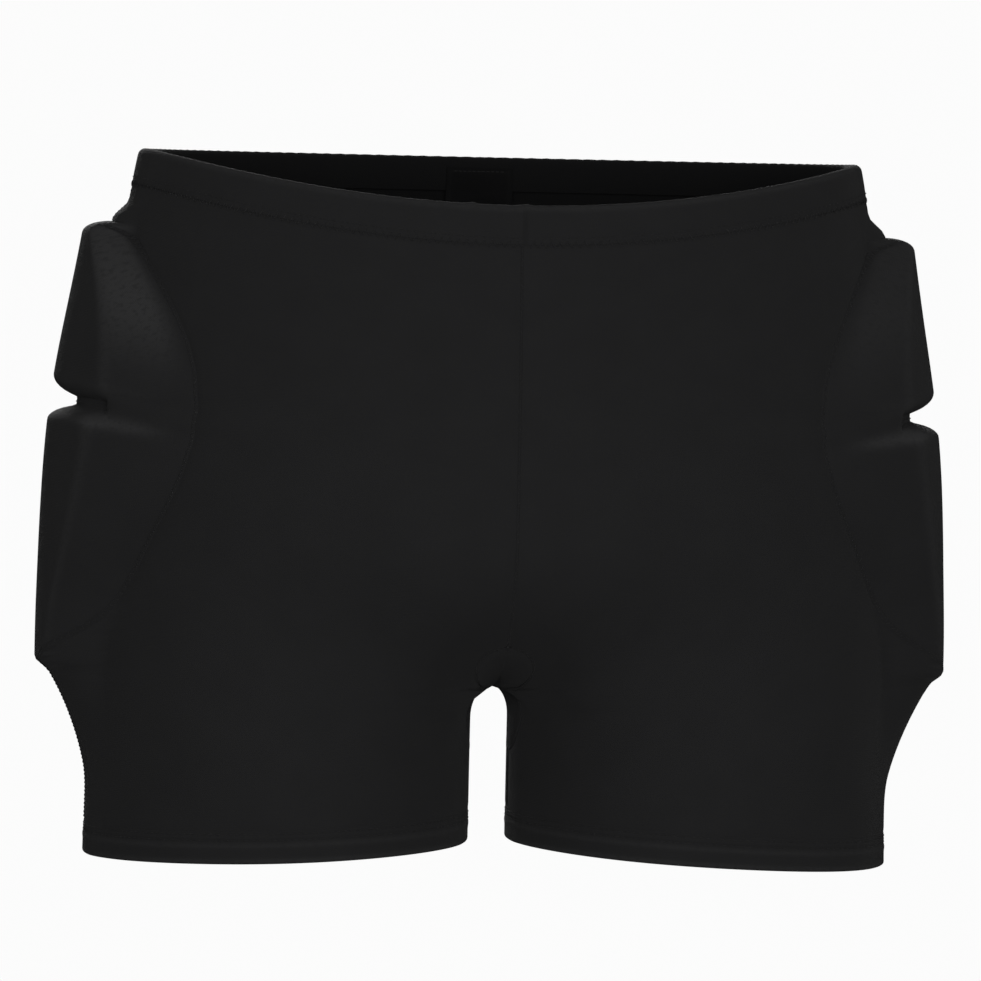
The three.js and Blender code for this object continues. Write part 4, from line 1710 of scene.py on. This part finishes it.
@dataclass
class Waist:
    """Waistband casing, the elastic inside it, its stitches and the blank label."""

    skin: Skin
    bench: Workbench
    stitcher: Stitcher
    steps: int = 420
    wall: float = 1.2
    depth: float = 5.6
    gather: float = 0.12
    gathers: int = 74
    zigzag: float = 1.9
    tape_ribs: int = 8
    tape_wave: float = 0.16
    tape_room: float = 0.65
    tape_drop: float = 3.4
    edge_roll: float = 0.25
    label_half_width: float = 15.0
    label_height: float = 34.0
    label_drop: float = 5.0
    label_thickness: float = 0.5
    label_curl: float = 2.2
    tack_row: int = 3
    bump_places: tuple[float, ...] = (21.5, -1.5)

    def around(self, depth: Array, height: Array) -> Array:
        """Ring of sections round the waist, from the front centre over the wearer's right.

        Args:
            depth: Depths of the points of one section.
            height: Their heights.

        Returns:
            Points of every section, in millimetres.
        """
        turns = np.linspace(0, 2, self.steps, endpoint=False)[:, None]
        flip = np.where(turns <= 1, 1, -1)
        turn = np.where(turns <= 1, turns, 2 - turns)
        depth, height = depth[None, :], height[None, :]
        form = self.skin.form
        drawn = np.sin(2 * math.pi * self.gathers * turn + 1.3 * np.sin(9 * turn * flip))
        fold = smooth(form.waist_rise, form.band_foot, height)
        fold = fold * (0.4 + 0.6 * bell(height, form.band_foot + 3, 6))
        centre = turn * form.half_girth * flip
        bumps = sum(bell(centre, place, 2.2) for place in self.bump_places)
        rim = smooth(form.waist_rise - 4, form.waist_rise, height)
        moved = depth + self.gather * drawn * fold + 0.35 * bumps * rim
        points = self.skin.points(flip, turn, height, moved)
        points[..., 2] += 0.7 * bumps * rim + 0.12 * drawn * rim
        return points

    def build(self) -> None:
        """Make every piece of the waist."""
        self.casing()
        self.elastic()
        self.stitches()
        self.label()

    def casing(self) -> None:
        """Folded casing with a round top, open below round the elastic."""
        form = self.skin.form
        radius = self.depth / 2
        rise = np.linspace(0, 1, 12)
        face = 0.12 * np.sin(math.pi * rise) - self.edge_roll * (1 - smooth(0, 0.12, rise))
        line = mix(form.band_foot - 0.03, form.waist_rise - radius, rise)
        depth, height = folded(face, line, self.depth, self.wall, 9)
        # Painted highlight along the rounded top of the waist rim.
        nap_and_painted_light = 0.4 * bell(height, form.waist_rise - 0.4, 1.0) * (depth > -radius)
        # Painted shade on the casing's inner face, marked below 0.
        nap_and_painted_light = np.where(depth < -radius, -smooth(-radius, -radius - 1.5, depth), nap_and_painted_light)
        casing = Cut.tube("waistband", self.around(depth, height), True, nap_and_painted_light).finish()
        self.bench.cloth(
            casing, Finish.SHELL, None, Flat.WAISTBAND, "waist_elastic", "waistband"
        )

    def elastic(self) -> None:
        """Elastic tape with ribs, inside the casing."""
        form = self.skin.form
        foot, top = form.band_foot + 1, form.waist_rise - self.tape_drop
        level = np.linspace(foot, top, 34)
        rib = np.cos(np.linspace(0, 2 * math.pi * self.tape_ribs, len(level)))
        inset = self.wall + self.tape_room - self.tape_wave * rib
        depth = np.concatenate([-inset, (inset - self.depth)[::-1]])
        height = np.concatenate([level, level[::-1]])
        tape = Cut.tube("waist_elastic", self.around(depth, height), True).finish()
        self.bench.cloth(
            tape, Finish.ELASTIC, None, Flat.WAIST_ELASTIC, "waistband", "waist_elastic"
        )

    def stitches(self) -> None:
        """Zigzag over the casing's lower edge, with a straight row above it."""
        foot = self.skin.form.band_foot
        levels = np.array([foot - 1.5, foot + 1.7, foot + 3.2])
        low, high, row = self.around(np.array([-0.05, 0.0, 0.1]), levels).transpose(1, 0, 2)
        out_low, _, out_row = self.around(np.array([0.95, 1.0, 1.1]), levels).transpose(1, 0, 2)
        runs = [
            self.stitcher.run(low, out_low, self.zigzag, self.zigzag, 0.0, high),
            self.stitcher.run(row, out_row, self.stitcher.pitch, self.stitcher.length),
        ]
        sewn = self.stitcher.sew("waistband_topstitch", runs, arch=0.3).finish()
        self.bench.fasten(sewn, Finish.THREAD, None, "waistband_topstitch")

    def label(self) -> None:
        """Blank woven label that hangs inside the back of the casing, and its row of tacks."""
        form = self.skin.form
        across = np.linspace(-1, 1, 49)[None, :]
        down = np.linspace(0, 1, 57)[:, None]
        height = form.waist_rise - self.label_drop - self.label_height * down
        turn = 1 - np.abs(across) * self.label_half_width / form.half_girth
        flip = np.where(across <= 0, 1, -1)
        waves = 0.3 * np.sin(4 * across + 5 * down) * smooth(0.4, 1, down)
        curl = self.label_curl * smooth(0.55, 1, down) ** 2 + waves
        face = -self.depth - self.label_thickness - curl
        grids = [
            form.layer(flip, turn, height, face - inset) for inset in (0, self.label_thickness)
        ]
        edge = np.maximum(np.abs(across), np.abs(2 * down - 1))
        border = bell(edge, 0.88, 0.035)
        label = Cut.sheet("care_label", grids[1], grids[0], nap_and_painted_light=border).finish()
        self.bench.cloth(label, Finish.LABEL, None, Flat.CARE_LABEL, "waistband", "care_label")
        line = grids[1][self.tack_row, 5:44]
        tacks = self.stitcher.run(line, line - [0, 1, 0], 2.2, 1.7)
        sewn = self.stitcher.sew("care_label_tacks", [tacks]).finish()
        self.bench.fasten(sewn, Finish.THREAD, None)


@dataclass
class LegEnd:
    """Folded hem of one leg, with two rows of stitches."""

    skin: Skin
    bench: Workbench
    stitcher: Stitcher
    side: Side
    steps: int = 300
    wall: float = 1.25
    thickness: float = 3.2
    rows: tuple[float, ...] = (1.5, 4.3)
    gathers: int = 92
    gather: float = 0.14
    stitch_bed: float = 0.32
    fullness: float = 0.2
    fullness_drop: float = 2.4
    stagger: float = 1.4

    def around(self, depth: Array, height: Array) -> Array:
        """Ring of sections round the leg, from the inseam over the front.

        Args:
            depth: Depths of the points of one section.
            height: Their heights.

        Returns:
            Points of every section, in millimetres.
        """
        turn = np.linspace(0, 1, self.steps, endpoint=False)[:, None]
        depth, height = depth[None, :], height[None, :]
        form = self.skin.form
        row = form.hem_top - sum(self.rows) / len(self.rows)
        drawn = np.sin(2 * math.pi * self.gathers * turn + 1.1 * np.sin(4 * math.pi * turn))
        moved = depth + self.gather * drawn * bell(height, row, 5)
        return self.skin.points(self.side.value, turn, height, moved)

    def build(self) -> None:
        """Make the hem fold and its stitches."""
        form = self.skin.form
        radius = self.thickness / 2
        full_height = form.hem_top - self.rows[1] - self.fullness_drop
        line = np.linspace(form.hem_top + 0.03, radius - form.leg_length, 26)
        drawn = -0.2 * (1 - smooth(0.1, 1.4, line[0] - line))
        for row in self.rows:
            drawn = drawn - self.stitch_bed * bell(line, form.hem_top - row, 0.75)
        drawn = drawn + self.fullness * bell(line, full_height, 1.3)
        depth, height = folded(drawn, line, self.thickness, self.wall, 7)
        # Painted highlight along the rounded lower fold of the hem.
        nap_and_painted_light = 0.4 * bell(height, -form.leg_length + 1.2, 1.2) * (depth > -radius)
        # Painted highlight along the slight fullness below the stitches.
        nap_and_painted_light = nap_and_painted_light + 0.25 * bell(height, full_height, 1.2) * (depth > -1)
        word = self.side.word
        hem = Cut.tube(f"hem_band_{word}", self.around(depth, height), True, nap_and_painted_light).finish()
        self.bench.cloth(
            hem, Finish.SHELL, self.side, Flat.HEM_BAND, f"front_panel_{word}", f"hem_band_{word}"
        )
        levels = np.array([form.hem_top - row for row in self.rows])
        lines = self.around(np.full(len(levels), -0.12), levels).transpose(1, 0, 2)
        outs = self.around(np.full(len(levels), 0.88), levels).transpose(1, 0, 2)
        runs = [
            self.stitcher.run(
                line, out, self.stitcher.pitch, self.stitcher.length, i * self.stagger
            )
            for i, (line, out) in enumerate(zip(lines, outs))
        ]
        sewn = self.stitcher.sew(f"hem_topstitch_{word}", runs).finish()
        self.bench.fasten(sewn, Finish.THREAD, self.side, f"hem_topstitch_{word}")


@dataclass
class Padding:
    """Foam pads of the hips, the seat and the tailbone, with the linings that hold them."""

    skin: Skin
    bench: Workbench
    lining_face: float = -2.2
    lining_thickness: float = 1.2
    foam_inset: float = 3.7
    foam_base: float = -0.9
    least_foam: float = 2.2
    swell_cap: float = 1.0
    voxel: float = 4.5
    pressure: float = 4.0
    frames: int = 20
    pad_reach: float = 0.75
    quilt: float = 0.12
    quilt_turn: float = 190.0
    quilt_height: float = 5.0

    def build(self) -> None:
        """Make every pad and lining."""
        for side in Side:
            self.hip_lining(side)
            self.hip_pads(side)
            self.seat_pad(side)
            self.seat_lining(side)
        self.tailbone_pad()

    def inflate(self, cut: Cut) -> Piece:
        """Make a pad, and let air pressure crown it inside its pocket.

        Args:
            cut: The pad's starting shape, a little smaller than its pocket.

        Returns:
            The finished pad, with no modifier left on it.
        """
        pad = cut.finish()
        remesh = pad.modifiers.new("remesh", "REMESH")
        remesh.mode, remesh.voxel_size = "VOXEL", self.voxel * MM
        apply_modifiers(pad)
        self.press(pad)
        smoother = pad.modifiers.new("round", "SUBSURF")
        smoother.levels = smoother.render_levels = 1
        apply_modifiers(pad)
        mesh = pad.data
        places = np.zeros(len(mesh.vertices) * 3, np.float32)
        mesh.vertices.foreach_get("co", places)
        for old in ("weave", "nap_and_painted_light"):
            if old in mesh.attributes:
                mesh.attributes.remove(mesh.attributes[old])
        weave = mesh.attributes.new("weave", "FLOAT_VECTOR", "POINT")
        weave.data.foreach_set("vector", places / MM)
        mesh.polygons.foreach_set("use_smooth", np.ones(len(mesh.polygons), bool))
        return pad

    def press(self, pad: Piece) -> None:
        """Swell a pad by cloth simulation, with a cap on how far each point moves.

        Args:
            pad: The pad, which is changed in place.
        """
        scene = bpy.context.scene
        count = len(pad.data.vertices)
        before, after = np.zeros(count * 3), np.zeros(count * 3)
        pad.data.vertices.foreach_get("co", before)
        cloth = pad.modifiers.new("air", "CLOTH")
        cloth.settings.use_pressure = True
        cloth.settings.uniform_pressure_force = self.pressure
        cloth.settings.effector_weights.gravity = 0
        cloth.point_cache.frame_start, cloth.point_cache.frame_end = 1, self.frames
        for moment in range(1, self.frames + 1):
            scene.frame_set(moment)
        swollen = pad.evaluated_get(bpy.context.evaluated_depsgraph_get())
        swollen.data.vertices.foreach_get("co", after)
        moved = (after - before).reshape(-1, 3)
        length = np.maximum(np.linalg.norm(moved, axis=1, keepdims=True), 1e-9)
        moved *= np.minimum(1, self.swell_cap * MM / length)
        pad.modifiers.clear()
        pad.data.vertices.foreach_set("co", (before.reshape(-1, 3) + moved).ravel())
        pad.data.update()
        scene.frame_set(1)

    def pad(
        self, name: str, side: Side | None, flip: Array, turn: Array, height: Array
    ) -> None:
        """Make a pad between the inner face of the shell and the lining, on a grid of spots.

        Args:
            name: Name of the pad and of the frame's node that it stands for.
            side: The hip that it crosses, or None if it stays with the pelvis.
            flip: 1 on the wearer's right half and -1 on the left half.
            turn: Share of the way round the half.
            height: Height above the crotch.
        """
        form = self.skin.form
        base = self.skin.points(flip, turn, height, 0)
        bare = form.layer(flip, turn, height, self.foam_base)
        outward = form.layer(flip, turn, height, self.foam_base + 1) - bare
        room = ((base - bare) * outward).sum(axis=-1) - self.foam_inset
        room = np.maximum(room, self.least_foam)
        pad = self.inflate(Cut.sheet(name, bare + outward * room[..., None], bare))
        self.bench.fasten(pad, Finish.FOAM, side, name)

    def hip_pads(self, side: Side) -> None:
        """Upper and lower pad of one hip.

        Args:
            side: Which half of the shorts.
        """
        hip = self.skin.hip
        across = np.linspace(-self.pad_reach, self.pad_reach, 33)[None, :]
        spans = {
            "upper": (hip.top - 7, hip.groove + hip.groove_half_width + 4),
            "lower": (hip.groove - hip.groove_half_width - 4, hip.pad_foot),
        }
        for part, (high, low) in spans.items():
            rows = np.linspace(high, low, 30)[:, None]
            turn = SIDE_TURN + across * hip.half(rows) / self.skin.form.half_girth
            fold = bell(rows, low if part == "upper" else high, 20)
            height = rows - hip.dip(np.abs(across)) * fold
            self.pad(f"hip_pad_{part}_{side.word}", side, side.value, turn, height)

    def seat_spots(self, columns: Array, height: Array) -> Array:
        """Turns for steps across a back panel.

        Args:
            columns: Steps from the hip cover to the back centre.
            height: Height above the crotch.

        Returns:
            The turn of each spot.
        """
        seat = self.skin.seat
        edge = SIDE_TURN - seat.hip.half(height) / seat.form.half_girth
        return 1 - edge * (1 - columns / seat.steps)

    def seat_pad(self, side: Side) -> None:
        """Seat pad of one side.

        Args:
            side: Which half of the shorts.
        """
        seat = self.skin.seat
        rows = np.linspace(seat.high, seat.low, 30)[:, None]
        turn = self.seat_spots(np.linspace(seat.first, seat.last, 26)[None, :], rows)
        self.pad(f"seat_pad_{side.word}", side, side.value, turn, rows)

    def tailbone_pad(self) -> None:
        """Pad over the tailbone, across the back centre."""
        seat = self.skin.seat
        rows = np.linspace(seat.tail_high, seat.tail_low, 22)[:, None]
        across = np.linspace(-1, 1, 25)[None, :]
        turn = self.seat_spots(seat.steps - np.abs(across), rows)
        self.pad("tailbone_pad", None, np.where(across <= 0, 1, -1), turn, rows)

    def lining(self, name: str, side: Side, turn: Array, height: Array) -> Piece:
        """Sheet of lining behind the pads, quilted by a slight wave.

        Args:
            name: Name of the piece.
            side: Which half of the shorts.
            turn: Share of the way round the half.
            height: Height above the crotch.

        Returns:
            The sheet, not dressed yet.
        """
        quilt = np.sin(turn * self.quilt_turn) * np.sin(height / self.quilt_height)
        face = self.lining_face + self.quilt * quilt
        faces = [
            self.skin.form.layer(side.value, turn, height, face - inset)
            for inset in (0, self.lining_thickness)
        ]
        return Cut.sheet(name, *faces).finish()

    def hip_lining(self, side: Side) -> None:
        """Lining behind the hip pads of one side.

        Args:
            side: Which half of the shorts.
        """
        hip = self.skin.hip
        inset = 0.6
        rows = np.linspace(hip.top - inset, hip.foot + inset, 72)[:, None]
        across = np.linspace(-1, 1, 49)[None, :]
        edge_turn, height = hip.edge(rows, -inset)
        turn = SIDE_TURN + (SIDE_TURN - edge_turn) * across
        name = f"hip_lining_{side.word}"
        lining = self.lining(name, side, turn, height)
        cover = f"side_cover_{side.word}"
        self.bench.cloth(lining, Finish.LINING, side, Flat.HIP_LINING, cover, name)

    def seat_lining(self, side: Side) -> None:
        """Half of the lining behind the seat pads, which meets the other half at the centre.

        Args:
            side: Which half of the shorts.
        """
        seat = self.skin.seat
        rows = np.linspace(seat.tail_high + seat.ramp, seat.low - seat.ramp, 64)[:, None]
        turn = self.seat_spots(np.linspace(seat.first - 1, seat.steps, 40)[None, :], rows)
        lining = self.lining(f"seat_lining_{side.word}", side, turn, rows)
        nodes = ["seat_lining"] if side is Side.RIGHT else []
        panel = f"back_panel_{side.word}"
        self.bench.cloth(lining, Finish.LINING, side, Flat.SEAT_LINING_HALF, panel, *nodes)


@dataclass
class Studio:
    """Plain pale floor, white surroundings, soft lights and the camera. Sizes are in metres."""

    azimuth: float = -6.0
    elevation: float = 2.5
    roll: float = 1.3
    distance: float = 3.2
    frame_width: float = 0.4513
    aim: tuple[float, float, float] = (-0.0015, 0.0, -0.1535)
    floor_level: float = -0.75
    floor_half: float = 60.0
    white: float = 0.97
    cast: float = 0.07
    # Name, place, width and power in watts of each lamp.
    lamps: tuple[tuple[str, tuple[float, float, float], float, float], ...] = (
        ("key", (-0.42, -2.7, 0.1), 1.1, 32),
        ("fill", (0.32, -2.7, 0.0), 1.1, 21),
        ("back_left", (-0.3, 2.6, 0.8), 0.9, 28),
        ("back_right", (0.3, 2.6, 0.6), 0.9, 24),
        ("side_left", (-2.8, 0.3, 0.3), 1.2, 2.5),
        ("side_right", (2.8, 0.3, 0.3), 1.2, 2.5),
        ("overhead", (0.0, -0.2, 2.4), 1.8, 5),
    )

    def build(self) -> None:
        """Make the whole studio."""
        bpy.context.scene.view_settings.view_transform = "Standard"
        self.camera()
        self.surroundings()
        self.floor()
        for name, place, size, power in self.lamps:
            self.lamp(name, place, size, power)

    def camera(self) -> None:
        """Long lens from just left of the front, a little above."""
        lens = bpy.data.cameras.new("camera")
        camera = bpy.data.objects.new("camera", lens)
        bpy.context.scene.collection.objects.link(camera)
        a, e = math.radians(self.azimuth), math.radians(self.elevation)
        back = Vector((math.sin(a) * math.cos(e), -math.cos(a) * math.cos(e), math.sin(e)))
        camera.location = Vector(self.aim) + back * self.distance
        turned = (-back).to_track_quat("-Z", "Y").to_matrix()
        turned = turned @ Matrix.Rotation(math.radians(self.roll), 3, "Z")
        camera.rotation_euler = turned.to_euler()
        lens.lens = lens.sensor_width * self.distance / self.frame_width
        lens.clip_end = 4 * self.floor_half
        bpy.context.scene.camera = camera

    def surroundings(self) -> None:
        """White surroundings that light the shorts only faintly."""
        world = bpy.data.worlds.new("surroundings")
        bpy.context.scene.world = world
        world.use_nodes = True
        tree = world.node_tree
        tree.nodes.clear()
        seen, cast = (tree.nodes.new("ShaderNodeBackground") for _ in range(2))
        seen.inputs["Color"].default_value = (self.white, self.white, self.white, 1)
        cast.inputs["Color"].default_value = (1, 1, 1, 1)
        cast.inputs["Strength"].default_value = self.cast
        path = tree.nodes.new("ShaderNodeLightPath")
        choice = tree.nodes.new("ShaderNodeMixShader")
        output = tree.nodes.new("ShaderNodeOutputWorld")
        tree.links.new(path.outputs["Is Camera Ray"], choice.inputs[0])
        tree.links.new(cast.outputs[0], choice.inputs[1])
        tree.links.new(seen.outputs[0], choice.inputs[2])
        tree.links.new(choice.outputs[0], output.inputs[0])

    def floor(self) -> None:
        """Wide pale floor, well below the shorts, which hang as if worn."""
        half, level = self.floor_half, self.floor_level
        mesh = bpy.data.meshes.new("floor")
        corners = [(x * half, y * half, level) for x, y in ((-1, -1), (1, -1), (1, 1), (-1, 1))]
        mesh.from_pydata(corners, [], [(0, 1, 2, 3)])
        floor = bpy.data.objects.new("floor", mesh)
        bpy.context.scene.collection.objects.link(floor)
        graph = Graph("pale_floor")
        tone = (self.white, self.white, self.white, 1.0)
        graph.set(base_color=(0, 0, 0, 1.0), roughness=1.0, specular_ior_level=0.0)
        graph.set(emission_color=tone, emission_strength=1.0)
        mesh.materials.append(graph.material)
        floor.visible_diffuse = floor.visible_glossy = False

    def lamp(self, name: str, place: tuple[float, float, float], size: float, power: float) -> None:
        """Square soft light that shines at the middle of the shorts and isn't seen itself.

        Args:
            name: Name of the light.
            place: Where it stands.
            size: Width of its square.
            power: Its power in watts.
        """
        light = bpy.data.lights.new(name, "AREA")
        light.shape, light.size, light.energy = "SQUARE", size, power
        lamp = bpy.data.objects.new(name, light)
        lamp.location = place
        lamp.rotation_euler = (Vector(self.aim) - Vector(place)).to_track_quat("-Z", "Y").to_euler()
        lamp.visible_camera = False
        bpy.context.scene.collection.objects.link(lamp)


def main() -> None:
    """Build the studio and every sub-assembly of the shorts, in order."""
    logging.basicConfig(level=logging.INFO, format="%(name)s: %(message)s")
    Studio().build()
    skin = Skin.fitted()
    bench = Workbench(skin.form)
    stitcher = Stitcher()
    shell = Shell(skin, bench, FlatSeam(skin, stitcher))
    shell.build()
    Gusset(skin, bench, shell).build()
    Waist(skin, bench, stitcher).build()
    for side in Side:
        LegEnd(skin, bench, stitcher, side).build()
    Padding(skin, bench).build()


if __name__ == "__main__":
    main()
